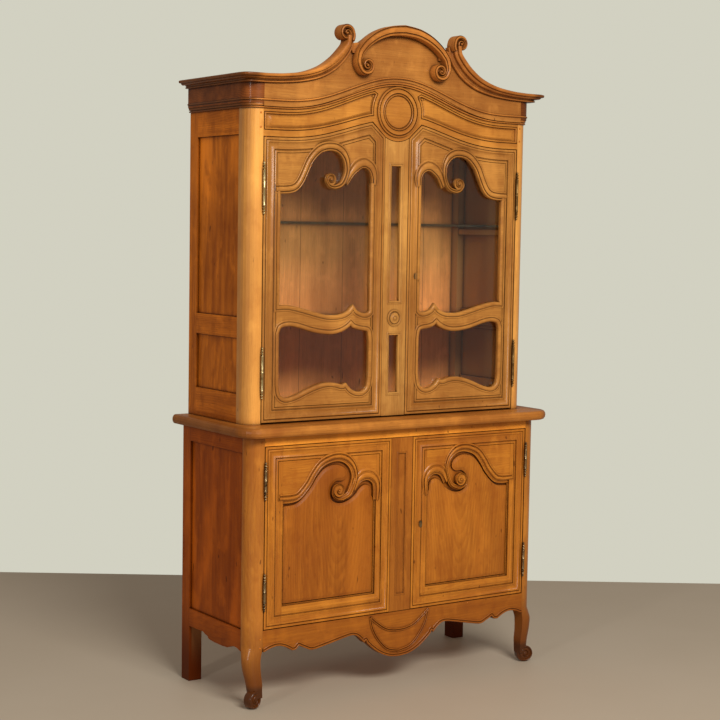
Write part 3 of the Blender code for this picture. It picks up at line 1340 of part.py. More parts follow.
def upper_stile(empty, materials):
    """False centre post of the glazed case, with two slots and a rosette between them."""
    radius = LOBE_RADIUS + DOOR_GAP
    reach = math.acos(UPPER_STILE_HALF_WIDTH / radius)
    arc = []
    for k in range(LOBE_STEPS + 1):
        turn = -reach + (2 * reach - math.pi) * k / LOBE_STEPS
        arc.append((radius * math.cos(turn), MEDALLION_HEIGHT + radius * math.sin(turn)))
    half = UPPER_STILE_HALF_WIDTH
    outline = [(-half, UPPER_DOOR_BOTTOM), (half, UPPER_DOOR_BOTTOM), *arc]
    slots = [rectangle(SLOT_HALF_WIDTH, *span) for span in (LOW_SLOT, HIGH_SLOT)]
    holes = []
    for slot in slots:
        corners = [Vector(corner) for corner in slot]
        holes.append(cut_corners([corners[-1], *corners, corners[0]]))
    mesh = plate(outline, UPPER_FRONT, UPPER_FRONT + DOOR_THICKNESS, holes)
    stile = make_object("upper_centre_stile", mesh, materials["post_wood"], empty)
    lap = GLASS_POCKET_LAP
    wide = SLOT_HALF_WIDTH + lap
    low, high = LOW_SLOT[0] - lap, HIGH_SLOT[1] + lap
    back_y = UPPER_FRONT + DOOR_THICKNESS - GLASS_POCKET_DEPTH
    pocket = box((-wide, back_y, low), (wide, UPPER_FRONT + DOOR_THICKNESS + CUT_OVERRUN, high))
    helper(stile, pocket, "DIFFERENCE", "glass_pocket")
    for number, slot in enumerate(slots):
        rim = band(slot, flip(SLOT_PROFILE), UPPER_FRONT, closed=True)
        helper(stile, rim, "UNION", f"slot_rim_{number}")
    profile = [(ROSETTE_RADIUS * r, ROSETTE_RADIUS * h) for r, h in ROSETTE_SHARES]
    rosette = turned(profile, (0, UPPER_FRONT, ROSETTE_HEIGHT), FORWARD, ROSETTE_STEPS)
    helper(stile, rosette, "UNION", "rosette")
    pane_low = (SEAT_GAP - wide, back_y + SEAT_GAP, low + SEAT_GAP)
    pane_high = (wide - SEAT_GAP, back_y + SEAT_GAP + PANE_THICKNESS, high - SEAT_GAP)
    make_object("upper_centre_glass", box(pane_low, pane_high), materials["glass"], empty)


# Hinges and locks


FINIAL_SHARES = (
    # radius as a share of the barrel's, distance from the tip as a share of the finial
    (0.35, 0.0), (0.80, 0.22), (0.42, 0.52), (0.94, 0.72), (1.0, 1.0),
)
BARREL_STEPS = 8
BLADE_START_SHARE = 0.72


def hinge_half(name, x, front, height, length, up, empty, material):
    """One half of a hinge: a barrel with a finial and a blade that fills the joint of post and door."""
    axis_y = front - BARREL_PROUD
    half = length / 2
    face = SEAT_GAP / 2
    profile = [(BARREL_RADIUS * r, half - FINIAL_LENGTH * s) for r, s in FINIAL_SHARES]
    profile.append((BARREL_RADIUS, face))
    if up > 0:
        bore = PIN_RADIUS + BORE_CLEARANCE
        profile += [(bore, face), (bore, PIN_LENGTH + BORE_CLEARANCE)]
    else:
        profile += [(PIN_RADIUS, face), (PIN_RADIUS, -PIN_LENGTH)]
    barrel = turned(profile, (x, axis_y, height), (0, 0, up), BARREL_STEPS)
    hinge = make_object(name, barrel, material, empty)
    thick = HINGE_GAP / 2 - SEAT_GAP
    spans = sorted((height + up * SINK, height + up * (half - FINIAL_LENGTH)))
    low = (x - thick, axis_y + BARREL_RADIUS * BLADE_START_SHARE, spans[0])
    high = (x + thick, front + BLADE_DEPTH, spans[1])
    helper(hinge, box(low, high), "UNION", "blade")
    return hinge


def door_hinges(level, word, side, empty, materials):
    if level == "lower":
        x, front, insets, length, metal = (
            BASE_HINGE_X, FRONT, BASE_HINGE_INSETS, BASE_BARREL, materials["bronze"]
        )
        bottom, top = BASE_DOOR_BOTTOM, BASE_DOOR_TOP
    else:
        x, front, insets, length, metal = (
            UPPER_HINGE_X, UPPER_FRONT, UPPER_HINGE_INSETS, UPPER_BARREL, materials["brass"]
        )
        bottom, top = UPPER_DOOR_BOTTOM, DOOR_TOP_END
    for place, height in (("low", bottom + insets[0]), ("high", top - insets[1])):
        name = f"{level}_{word}_{place}_hinge"
        hinge_half(f"{name}_post_half", side * x, front, height, length, -1, None, metal)
        hinge_half(f"{name}_door_half", side * x, front, height, length, 1, empty, metal)


def door_lock(level, door, inner, height, front, empty, materials):
    """Rim lock on the back of a right-hand door: its key tube runs through the stile to the escutcheon."""
    key_x = inner + KEYHOLE_IN
    cut_keyhole(door, key_x, height, front)
    back = front + DOOR_THICKNESS + SEAT_GAP
    near = inner + LOCK_EDGE
    half = LOCK_HEIGHT / 2
    case = box((near, back, height - half), (near + LOCK_WIDTH, back + LOCK_DEPTH, height + half))
    lock = make_object(f"{level}_door_lock", case, materials["brass"], empty)
    bolt_y = back + BOLT_COVER
    channel_half = BOLT_HEIGHT / 2 + SEAT_GAP
    low = (near - CUT_OVERRUN, bolt_y, height - channel_half)
    high = (near + BOLT_LENGTH + SEAT_GAP, bolt_y + BOLT_THICKNESS + 2 * SEAT_GAP, height + channel_half)
    helper(lock, box(low, high), "DIFFERENCE", "bolt_channel")
    centre = (key_x, front, height)
    tube = ((KEY_TUBE_RADIUS, front - back - BOLT_COVER / 2), (KEY_TUBE_RADIUS, ESCUTCHEON_THICKNESS / 2))
    helper(lock, turned(tube, centre, FORWARD, SMALL_STEPS), "UNION", "key_tube")
    width, tall = (size / 2 for size in ESCUTCHEON_SIZE)
    seat = front + SEAT_SINK - SEAT_GAP
    plate_mesh = plate(oval(key_x, height, width, tall), seat - ESCUTCHEON_THICKNESS, seat)
    helper(lock, plate_mesh, "UNION", "escutcheon")
    hole = ((KEYHOLE_RADIUS, -DOOR_THICKNESS / 2), (KEYHOLE_RADIUS, CUT_OVERRUN))
    helper(lock, turned(hole, centre, FORWARD, BARREL_STEPS), "DIFFERENCE", "keyhole")
    bolt_low = (near, bolt_y + SEAT_GAP, height - BOLT_HEIGHT / 2)
    bolt_high = (near + BOLT_LENGTH, bolt_y + SEAT_GAP + BOLT_THICKNESS, height + BOLT_HEIGHT / 2)
    bolt_empty = joint_empty(f"{level}_bolt_slide", (near, bolt_y + SEAT_GAP + BOLT_THICKNESS / 2, height))
    make_object(f"{level}_lock_bolt", box(bolt_low, bolt_high), materials["iron"], bolt_empty)


def build_doors(materials):
    for word, side in SIDES.items():
        place = (side * BASE_HINGE_X, FRONT - BARREL_PROUD, (BASE_DOOR_BOTTOM + BASE_DOOR_TOP) / 2)
        base_empty = joint_empty(f"lower_{word}_door_axis", place)
        door, inner = lower_door(word, side, base_empty, materials)
        door_hinges("lower", word, side, base_empty, materials)
        place = (side * UPPER_HINGE_X, UPPER_FRONT - BARREL_PROUD, (UPPER_DOOR_BOTTOM + DOOR_TOP_END) / 2)
        upper_empty = joint_empty(f"upper_{word}_door_axis", place)
        glazed, glazed_inner = upper_door(word, side, upper_empty, materials)
        door_hinges("upper", word, side, upper_empty, materials)
        if side < 0:
            lower_stile(base_empty, materials)
            upper_stile(upper_empty, materials)
        else:
            door_lock("lower", door, inner, BASE_DOOR_BOTTOM + BASE_LOCK_RISE, FRONT, base_empty, materials)
            height = UPPER_DOOR_BOTTOM + UPPER_LOCK_RISE
            door_lock("upper", glazed, glazed_inner, height, UPPER_FRONT, upper_empty, materials)


def main():
    clear_scene()
    materials = make_materials()
    build_base(materials)
    build_upper_case(materials)
    build_doors(materials)


main()
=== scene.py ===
"""Looks of the two-tier buffet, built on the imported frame. Metres, +Z up, -Y is the front."""

from math import acos, atan2, cos, pi, radians, sin, sqrt

import bmesh
import bpy
from mathutils import Matrix, Vector


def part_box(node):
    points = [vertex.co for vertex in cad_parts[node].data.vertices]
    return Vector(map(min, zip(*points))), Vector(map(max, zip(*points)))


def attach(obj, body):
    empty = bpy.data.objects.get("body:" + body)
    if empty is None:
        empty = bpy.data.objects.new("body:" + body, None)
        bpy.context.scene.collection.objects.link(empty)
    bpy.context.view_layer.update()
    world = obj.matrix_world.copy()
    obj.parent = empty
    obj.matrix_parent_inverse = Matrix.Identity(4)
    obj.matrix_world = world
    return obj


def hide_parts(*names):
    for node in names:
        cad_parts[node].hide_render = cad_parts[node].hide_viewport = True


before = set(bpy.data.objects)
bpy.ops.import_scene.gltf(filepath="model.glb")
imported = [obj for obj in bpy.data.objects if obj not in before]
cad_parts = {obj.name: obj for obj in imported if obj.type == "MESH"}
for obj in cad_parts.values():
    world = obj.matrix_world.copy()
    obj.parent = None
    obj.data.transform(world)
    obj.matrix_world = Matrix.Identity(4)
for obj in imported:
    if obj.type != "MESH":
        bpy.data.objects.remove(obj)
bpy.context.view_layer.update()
SIDES = {"left": -1, "right": 1}
MM = 0.001
QUARTER = pi / 2

# Materials

MATERIALS = {}
GRAIN_ORDER = {"X": "ZYX", "Y": "XZY", "Z": "XYZ"}


class Value:
    """An output in a material's graph: arithmetic with it adds math nodes."""

    def __init__(self, graph, socket):
        self.graph, self.socket = graph, socket

    def __add__(self, other):
        return self.graph.math("ADD", self, other)

    def __sub__(self, other):
        return self.graph.math("SUBTRACT", self, other)

    def __mul__(self, other):
        return self.graph.math("MULTIPLY", self, other)

    def __truediv__(self, other):
        return self.graph.math("DIVIDE", self, other)


class Graph:
    """Adds nodes to a new material and joins them."""

    def __init__(self, name):
        MATERIALS[name] = bpy.data.materials.new(name)
        MATERIALS[name].use_nodes = True
        self.tree = MATERIALS[name].node_tree
        self.shader = self.tree.nodes["Principled BSDF"]
        self.place = self.out("ShaderNodeTexCoord", output="Object")

    def join(self, value, socket):
        if isinstance(value, Value):
            self.tree.links.new(value.socket, socket)
        else:
            socket.default_value = value

    def out(self, kind, inputs=None, output=0, **settings):
        """A new node's output."""
        node = self.tree.nodes.new(kind)
        for key, value in settings.items():
            setattr(node, key, value)
        for key, value in (inputs or {}).items():
            self.join(value, node.inputs[key])
        return Value(self, node.outputs[output])

    def finish(self, inputs):
        for key, value in inputs.items():
            self.join(value, self.shader.inputs[key])

    def math(self, operation, a, b=0.0):
        return self.out("ShaderNodeMath", {0: a, 1: b}, operation=operation)

    def axis(self, place, name):
        return self.out("ShaderNodeSeparateXYZ", {0: place}, name)

    def shifted(self, operation, place, amount):
        return self.out("ShaderNodeVectorMath", {0: place, 1: amount}, operation=operation)

    def noise(self, place, scale, detail, along=None, roughness=0.5):
        """Noise of one scale, or with another one along the grain."""
        if along:
            place, scale = self.shifted("MULTIPLY", place, (scale, scale, along)), 1.0
        inputs = {"Vector": place, "Scale": scale, "Detail": detail, "Roughness": roughness}
        return self.out("ShaderNodeTexNoise", inputs, "Fac")

    def span(self, value, low, high, to_low=0.0, to_high=1.0):
        inputs = {"Value": value, "From Min": low, "From Max": high, "To Min": to_low, "To Max": to_high}
        return self.out("ShaderNodeMapRange", inputs, "Result", interpolation_type="SMOOTHSTEP")

    def mix(self, factor, a, b):
        return self.out("ShaderNodeMix", {0: factor, 6: a, 7: b}, 2, data_type="RGBA")

    def hollow(self, distance, samples):
        """Near 0 in a corner and 1 in the open."""
        return self.out("ShaderNodeAmbientOcclusion", {"Distance": distance}, "AO", samples=samples)

    def bump(self, height, strength, distance):
        inputs = {"Height": height, "Strength": strength, "Distance": distance}
        return self.out("ShaderNodeBump", inputs, "Normal")


def colour(value, share=1.0):
    return (value[0] * share, value[1] * share, value[2] * share, 1.0)


def board_figure(g, grain, seed, ring, pith):
    """Growth rings, fibres, pores and streaks of a board with the grain along one axis, each from 0 to 1."""
    first, second, along = (g.axis(g.place, axis) for axis in GRAIN_ORDER[grain])
    local = g.out("ShaderNodeCombineXYZ", {0: first, 1: second, 2: along})
    local = g.shifted("ADD", local, (seed * 0.37, seed * 0.53, seed * 1.71))
    drift = g.noise(local, 7.0, 1.5, along=1.6) * 0.11 - 0.055
    waver = g.noise(local, 30.0, 2.0, along=5.0) * 0.012 - 0.006
    across = first - pith[0] + (drift + waver)
    deep = along * pith[2] + pith[1] + second
    radius = g.math("SQRT", across * across + deep * deep)
    phase = g.math("FRACT", radius / ring)
    late = g.span(phase, 0.20, 0.85) * g.span(phase, 0.88, 1.0, 1.0, 0.0)
    fibres = g.noise(local, 260.0, 2.0, along=6.0, roughness=0.6)
    pores = g.span(g.noise(local, 700.0, 1.0, along=30.0), 0.60, 0.74)
    streaks = g.noise(local, 26.0, 3.0, along=1.5)
    return late, fibres, pores, streaks


def make_wood(name, light, dark, seed=0.0, grain="Z", ring=0.0075, pith=(0.03, 0.06, 0.05), cross=None,
              figure=0.24, streak=0.9, crevice_shade=0.95, boards=0.0, joint_axis="X", darker_zones=(), glow=0.30,
              gloss=(0.16, 0.10)):
    """Old waxed wood, with painted shade in its corners and recesses.

    cross holds (grain, low, high): between these distances from the middle the rails run the other way.
    darker_zones holds (axis, plain_at, darkest_at, amount, tone) for each zone of the piece that is darker,
    most of them painted shade; without a tone it takes half the dark tone. gloss holds the specular level and
    the coat of wax.
    """
    g = Graph(name)
    late, fibres, pores, streaks = board_figure(g, grain, seed, ring, pith)
    axis = g.axis(g.place, joint_axis)
    joint = None
    if cross:
        other = board_figure(g, cross[0], seed + 3.3, ring, pith)
        far = g.math("ABSOLUTE", axis) if joint_axis == "X" else axis
        inside = g.math("GREATER_THAN", far, cross[1]) * g.math("LESS_THAN", far, cross[2])
        late, fibres, pores, streaks = (
            g.out("ShaderNodeMix", {0: inside, 2: a, 3: b}, data_type="FLOAT")
            for a, b in zip((late, fibres, pores, streaks), other))
        near, distant = (g.math("ABSOLUTE", far - end) for end in cross[1:])
        joint = g.span(g.math("MINIMUM", near, distant), 0.0002, 0.0010, 0.30, 0.0)
    if boards:
        fold = g.math("FRACT", (axis + 7.03) / boards)
        edge = g.math("MINIMUM", fold, g.math("SUBTRACT", 1.0, fold)) * boards
        joint = g.span(edge, 0.0008, 0.0024, 0.55, 0.0)
    stain = g.noise(g.place, 2.6, 3.0)
    flames = g.noise(g.place, 8.0, 2.5, along=2.0)
    mottle = g.noise(g.place, 17.0, 3.0, along=11.0, roughness=0.6)
    specks = g.noise(g.place, 60.0, 1.0, along=22.0)
    middle = [(a + b) / 2 for a, b in zip(light, dark)]
    layers = [
        (g.span(streaks, 0.34, 0.68, 0.0, streak), colour(middle)),
        (late * figure, colour(dark)),
        (g.span(fibres, 0.25, 0.75, 0.34, 0.0), colour(dark, 0.8)),
        (pores * 0.42, colour(dark, 0.5)),
        (g.span(flames, 0.50, 0.70, 0.0, glow), colour(light, 1.45)),
        (g.span(stain, 0.42, 0.72, 0.0, 0.50), colour(dark, 0.95)),
        (g.span(mottle, 0.52, 0.72, 0.0, 0.40), colour(dark)),
        (g.span(mottle, 0.28, 0.46, 0.30, 0.0), colour(light, 1.25)),
        (g.span(specks, 0.74, 0.80, 0.0, 0.7), colour(dark, 0.3)),
    ]
    if joint:
        layers.append((joint, colour(dark, 0.22)))
    for along, plain_at, darkest_at, amount, tone in darker_zones:
        ends = (0.0, amount) if darkest_at > plain_at else (amount, 0.0)
        distance = g.math("ABSOLUTE", g.axis(g.place, along))
        share = g.span(distance, min(plain_at, darkest_at), max(plain_at, darkest_at), *ends)
        layers.append((share, colour(tone) if tone else colour(dark, 0.5)))
    # Painted shade: darker in corners and recesses, broadly under mouldings and in a narrow band in grooves.
    layers.append((g.span(g.hollow(0.024, 5), 0.45, 0.95, crevice_shade * 0.75, 0.0), colour(dark, 0.60)))
    layers.append((g.span(g.hollow(0.007, 5), 0.44, 0.97, crevice_shade, 0.0), colour(dark, 0.24)))
    base = colour(light)
    for share, tone in layers:
        base = g.mix(share, base, tone)
    height = fibres * 0.35 + late * -0.20 - pores * 0.5
    if joint:
        height = height - joint
    height = height + g.noise(g.place, 24.0, 2.0) * 2.0
    g.finish({
        "Base Color": base, "Roughness": g.span(stain, 0.3, 0.7, 0.30, 0.42) + pores * 0.10,
        "Normal": g.bump(height, 0.35, 0.0006), "Specular IOR Level": gloss[0], "Coat Weight": gloss[1],
        "Coat Roughness": 0.14,
    })


def make_metal(name, bright, tarnish, roughness, worn):
    """Old metal: bright where hands rub it, tarnished in hollows and in patches."""
    g = Graph(name)
    patches = g.noise(g.place, 70.0, 3.0)
    grime = g.span(patches, 0.5 - worn * 0.3, 0.75 - worn * 0.1)
    grime = g.math("MAXIMUM", grime, g.span(g.hollow(0.003, 4), 0.25, 0.75, 0.9, 0.0))
    g.finish({
        "Base Color": g.mix(grime, colour(bright), colour(tarnish)), "Roughness": grime * 0.25 + roughness,
        "Normal": g.bump(patches, 0.15, 0.0003), "Metallic": 1.0,
    })


def make_glass(name, tint):
    """Old glass: slightly wavy, with faint smears; shadows pass through it."""
    g = Graph(name)
    smears = g.noise(g.place, 9.0, 3.0, along=4.0)
    g.finish({
        "Base Color": g.mix(smears, colour(tint), colour(tint, 0.97)),
        "Roughness": g.span(smears, 0.45, 0.8, 0.0, 0.05),
        "Normal": g.bump(g.noise(g.place, 11.0, 1.0), 0.10, 0.002), "Transmission Weight": 1.0, "IOR": 1.45,
    })
    faint = [(1 + value) / 2 for value in tint]
    clear = g.out("ShaderNodeBsdfTransparent", {"Color": colour(faint)})
    shadow, diffuse = (g.out("ShaderNodeLightPath", output=f"Is {ray} Ray") for ray in ("Shadow", "Diffuse"))
    passing = g.math("MAXIMUM", shadow, diffuse)
    mixed = g.out("ShaderNodeMixShader", {0: passing, 1: Value(g, g.shader.outputs[0]), 2: clear})
    g.join(mixed, g.tree.nodes["Material Output"].inputs["Surface"])


# Tones of the wood, each (light, dark)
DOOR = ((0.52, 0.232, 0.048), (0.26, 0.086, 0.015))
BASE_DOOR = ((0.60, 0.222, 0.024), (0.30, 0.078, 0.008))
STILE = ((0.64, 0.325, 0.080), (0.32, 0.118, 0.022))
BASE_STILE = ((0.42, 0.142, 0.017), (0.21, 0.050, 0.006))
POST = ((0.86, 0.410, 0.086), (0.48, 0.172, 0.026))
BASE_POST = ((0.56, 0.215, 0.028), (0.28, 0.072, 0.008))
PANELS = {
    "left": ((0.42, 0.132, 0.013), (0.23, 0.054, 0.005)),
    "right": ((0.50, 0.172, 0.018), (0.27, 0.068, 0.007)),
}
RAIL = ((0.41, 0.130, 0.012), (0.205, 0.047, 0.005))
# The top rail's tone is lighter to make up for the counter's shadow on it: painted light.
LIGHTENED_TOP_RAIL = ((0.95, 0.370, 0.042), (0.50, 0.130, 0.014))
FRIEZE = ((0.57, 0.236, 0.038), (0.30, 0.090, 0.012))
CREST = ((0.49, 0.205, 0.042), (0.25, 0.078, 0.012))
COUNTER = ((0.52, 0.200, 0.033), (0.26, 0.070, 0.010))
CORNICE = ((0.64, 0.245, 0.044), (0.22, 0.060, 0.011))
# A very dark tone for the crest's ends on the sides: painted shade under the cornice, with a darker stain.
CREST_END = ((0.30, 0.085, 0.016), (0.075, 0.017, 0.004))
SIDE = ((0.70, 0.205, 0.016), (0.20, 0.040, 0.004))
BASE_SIDE = ((0.46, 0.104, 0.007), (0.18, 0.030, 0.003))
INNER = ((0.84, 0.350, 0.110), (0.50, 0.185, 0.052))
IN_SHADE = (0.34, 0.160, 0.055)

# Darker zones, most of them painted shade: axis, where it starts (plain_at), where it is full (darkest_at),
# amount, tone
# Painted shade where the cornice turns onto the sides of the case.
SIDE_DARK = ("X", 0.560, 0.600, 0.85, None)
# Painted shade: darker towards the floor, where the light falls off.
FOOT_DARK = ("Z", 0.330, 0.040, 1.0, None)
# Nearly black over the scroll feet, in their lowest 85 mm.
SCROLL_DARK = ("Z", 0.085, 0.060, 0.80, (0.050, 0.015, 0.004))
# Painted shade on the counter's side edges.
COUNTER_DARK = ("X", 0.600, 0.650, 0.60, None)
# Painted shade where the upper posts round onto the sides.
POST_DARK = ("X", 0.560, 0.592, 0.45, None)
# Darker towards the bottom of the centre stile.
STILE_DARK = ("Z", 1.300, 0.980, 0.30, None)
SIDE_GLOSS = (0.06, 0.04)


def make_side_materials(number, word):
    make_wood(f"upper_post_wood_{word}", *POST, seed=1.3 + number, ring=0.006, darker_zones=(POST_DARK,),
              gloss=(0.2, 0.6))
    make_wood(f"lower_post_wood_{word}", *BASE_POST, seed=2.9 + number, ring=0.006,
              darker_zones=(FOOT_DARK, SCROLL_DARK), gloss=(0.15, 0.3))
    make_wood(f"base_panel_wood_{word}", *PANELS[word], seed=4.1 + number * 2.7, ring=0.0105, figure=0.30,
              pith=(-0.26 if word == "left" else 0.27, 0.045, 0.20))
    make_wood(f"base_door_wood_{word}", *BASE_DOOR, seed=7.7 + number, cross=("X", 0.1085, 0.4902))
    make_wood(f"upper_door_wood_{word}", *DOOR, seed=9.7 + number, cross=("X", 0.0975, 0.4830))
    for level, tone, inside in (("upper", SIDE, 0.588), ("lower", BASE_SIDE, 0.607)):
        hidden = ("X", inside, inside - 4 * MM, 1.0, IN_SHADE)
        make_wood(f"{level}_side_panel_wood_{word}", *tone, seed=15.1 + number, ring=0.016,
                  pith=(0.0, -0.05, 0.12), figure=0.34, streak=1.0, darker_zones=(hidden,), glow=0.75,
                  gloss=SIDE_GLOSS)
        make_wood(f"{level}_side_frame_wood_{word}", *tone, seed=19.1 + number, cross=("Y", -1.0, 0.203),
                  joint_axis="Y", darker_zones=(hidden, FOOT_DARK) if level == "lower" else (hidden,),
                  gloss=SIDE_GLOSS)


def make_materials():
    for number, word in enumerate(SIDES):
        make_side_materials(number, word)
    make_wood("stile_wood", *STILE, seed=23.0, ring=0.005, darker_zones=(STILE_DARK,))
    make_wood("base_stile_wood", *BASE_STILE, seed=24.0, ring=0.005)
    for name, tone, seed in (("apron", RAIL, 25.0), ("top_rail", LIGHTENED_TOP_RAIL, 26.0), ("frieze", FRIEZE, 29.0)):
        make_wood(f"{name}_wood", *tone, seed=seed, grain="X", figure=0.12)
    make_wood("crest_wood", *CREST, seed=27.5, grain="X", ring=0.009, pith=(2.30, 0.10, 0.02), figure=0.14)
    make_wood("cornice_wood", *CORNICE, seed=31.0, grain="X", crevice_shade=0.65, figure=0.12, darker_zones=(SIDE_DARK,))
    make_wood("shaded_crest_end_wood", *CREST_END, seed=32.0, grain="X", figure=0.45, gloss=(0.08, 0.16))
    make_wood("counter_wood", *COUNTER, seed=33.0, grain="X", figure=0.12, darker_zones=(COUNTER_DARK,))
    make_wood("back_wood", *INNER, seed=37.0, ring=0.012, boards=0.186, figure=0.18)
    make_wood("shelf_wood", *INNER, seed=41.0, grain="X")
    make_wood("peg_wood", *SIDE, seed=43.0)
    make_metal("old_brass", (0.52, 0.42, 0.21), (0.22, 0.15, 0.06), 0.36, 0.1)
    make_metal("dark_bronze", (0.32, 0.23, 0.12), (0.035, 0.024, 0.014), 0.34, 0.2)
    # A darker copy of the brass for the right-hand upper hinges: painted shade.
    make_metal("shaded_brass", (0.30, 0.19, 0.07), (0.13, 0.07, 0.02), 0.42, 0.4)
    make_metal("worn_iron", (0.22, 0.20, 0.18), (0.05, 0.035, 0.025), 0.40, 0.4)
    make_glass("old_glass", (0.93, 0.97, 0.93))
    make_glass("shelf_glass", (0.74, 0.86, 0.80))


PAINTED = {
    "back_wood": "lower_back_panel upper_back_panel",
    "shelf_wood": "lower_bottom_board lower_shelf wooden_shelf upper_bottom_board top_board",
    "dark_bronze": "lower_door_lock upper_door_lock",
    "worn_iron": "lower_lock_bolt upper_lock_bolt",
    "top_rail_wood": "lower_top_rail",
    "counter_wood": "countertop",
    "old_glass": "upper_centre_glass upper_{0}_door_glass",
    "upper_post_wood_{0}": "upper_front_post_{0}",
    "lower_side_panel_wood_{0}": "lower_side_panel_{0}",
    "upper_side_panel_wood_{0}": "upper_low_panel_{0} upper_tall_panel_{0}",
    "lower_side_frame_wood_{0}": "lower_side_frame_{0}",
    "upper_side_frame_wood_{0}": "upper_side_frame_{0}",
}


def paint_nodes():
    """The CAD nodes that stay in view get their materials, on either side."""
    for word in SIDES:
        for material, nodes in PAINTED.items():
            for node in nodes.format(word).split():
                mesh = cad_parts[node].data
                mesh.materials.clear()
                mesh.materials.append(MATERIALS[material.format(word)])


# Lines and sections


def smooth_line(points, steps):
    """A smooth curve through the points, with this many steps between two of them."""
    points = [Vector(point) for point in points]
    padded = [2 * points[0] - points[1], *points, 2 * points[-1] - points[-2]]
    line = []
    for a, b, c, d in zip(padded, padded[1:], padded[2:], padded[3:]):
        for k in range(steps):
            t = k / steps
            line.append((2 * b + (c - a) * t + (2 * a - 5 * b + 4 * c - d) * t**2
                         + (3 * b - a - 3 * c + d) * t**3) / 2)
    return [*line, points[-1]]


def pointed_line(runs, steps=4):
    """Smooth runs, each of which starts in the point where the last one ends."""
    line = []
    for run in runs:
        line += smooth_line(run, steps)[1 if line else 0:]
    return line


def arc(centre, start, end, steps):
    """Points round a centre between two pairs of an angle in radians and a radius."""
    line = []
    for k in range(steps + 1):
        angle, radius = (a + (b - a) * k / steps for a, b in zip(start, end))
        line.append(Vector((centre[0] + radius * cos(angle), centre[1] + radius * sin(angle))))
    return line


def spiral(eye, turns, steps):
    """Points round an eye: turns holds (angle in degrees, radius), which change evenly in between."""
    line = []
    turns = [(radians(angle), radius) for angle, radius in turns]
    for start, end in zip(turns, turns[1:]):
        line += arc(eye, start, end, steps)[1 if line else 0:]
    return line


def mirrored(line):
    return [Vector((-point[0], *point[1:])) for point in line]


def whole(line):
    """A line that ends in the middle, with its mirrored half after it."""
    return [*line, *mirrored(line[-2::-1])]


def rectangle(x_low, x_high, z_low, z_high):
    return [(x_low, z_low), (x_high, z_low), (x_high, z_high), (x_low, z_high)]


def left_normals(line, closed=False):
    """The direction to the left of a line at each point, longer at a corner to keep the band's width."""
    count = len(line)
    normals = []
    for i in range(count):
        before = line[i] - line[i - 1] if (i or closed) else line[1] - line[0]
        after = line[(i + 1) % count] - line[i] if (i < count - 1 or closed) else before
        middle = Vector((-before.y, before.x)).normalized() + Vector((-after.y, after.x)).normalized()
        normals.append(2 * middle / middle.length_squared)
    return normals


def inset(outline, amount):
    """A closed outline, drawn in by this much."""
    line = [Vector(point) for point in outline]
    return [point + normal * amount for point, normal in zip(line, left_normals(line, True))]


def moulded(*points):
    """A section in millimetres: (across, height), or (across, height, bulge) after a curved run."""
    section = [Vector(points[0][:2])]
    for before, point in zip(points, points[1:]):
        start, end = Vector(before[:2]), Vector(point[:2])
        bulge = point[2] if len(point) > 2 else 0
        steps = 6 if bulge else 1
        normal = Vector((start.y - end.y, end.x - start.x)).normalized()
        for k in range(1, steps + 1):
            share = k / steps
            section.append(start.lerp(end, share) + normal * bulge * sin(pi * share))
    return [(spot.x * MM, spot.y * MM) for spot in section]


def scaled(profile, across, up=1.0):
    return [(offset * across, height * up) for offset, height in profile]


def flip(profile):
    """Lines on the doors run from right to left, so what was to the left of the line is to its right."""
    return scaled(profile, -1)


# Meshes


def skin(rings, closed=False):
    """Rings of equal count joined into one surface, capped at both ends unless the run is closed."""
    mesh = bmesh.new()
    loops = [[mesh.verts.new(point) for point in ring] for ring in rings]
    pairs = list(zip(loops, loops[1:]))
    if closed:
        pairs.append((loops[-1], loops[0]))
    for first, second in pairs:
        for i in range(len(first)):
            j = (i + 1) % len(first)
            mesh.faces.new((first[i], first[j], second[j], second[i]))
    if not closed:
        mesh.faces.new(loops[0])
        mesh.faces.new(loops[-1])
    bmesh.ops.recalc_face_normals(mesh, faces=mesh.faces)
    return mesh


def band(line, profile, front, closed=False, widths=None, side=1, sinks=None):
    """A moulding along a line in the elevation: profile holds (left offset, height in front of the face)."""
    line = [Vector(point) for point in line]
    rings = []
    for i, (point, normal) in enumerate(zip(line, left_normals(line, closed))):
        left, right = widths[i] if widths else (1.0, 1.0)
        ring = []
        for offset, height in profile:
            spot = point + normal * offset * (left if offset > 0 else right)
            ring.append(Vector((spot.x * side, front - height + (sinks[i] if sinks else 0), spot.y)))
        rings.append(ring)
    return skin(rings, closed)


def turned(profile, centre, axis=(0, -1, 0), steps=40):
    """A solid of revolution: profile holds (radius, distance along the axis), and its ends close flat."""
    axis = Vector(axis).normalized()
    side = axis.orthogonal().normalized()
    other = axis.cross(side)
    spokes = [side * cos(4 * QUARTER * k / steps) + other * sin(4 * QUARTER * k / steps)
              for k in range(steps)]
    return skin([[Vector(centre) + axis * along + spoke * radius for spoke in spokes]
                 for radius, along in profile])


def button(core, radius, heights, collar, centre):
    """The middle of a volute: its low core with a domed button on it.

    heights holds, in millimetres, the core's back and front, and the foot and the rise of the dome;
    collar holds (share of the dome's radius, millimetres) for the step between them.
    """
    back, face, foot, rise = heights
    section = [(core, back), (core, face), *[(radius * share, height) for share, height in collar]]
    for k in range(7):
        turn = QUARTER * k / 7
        section.append((radius * cos(turn), foot + rise * sin(turn)))
    return turned([(r, height * MM) for r, height in section], centre)


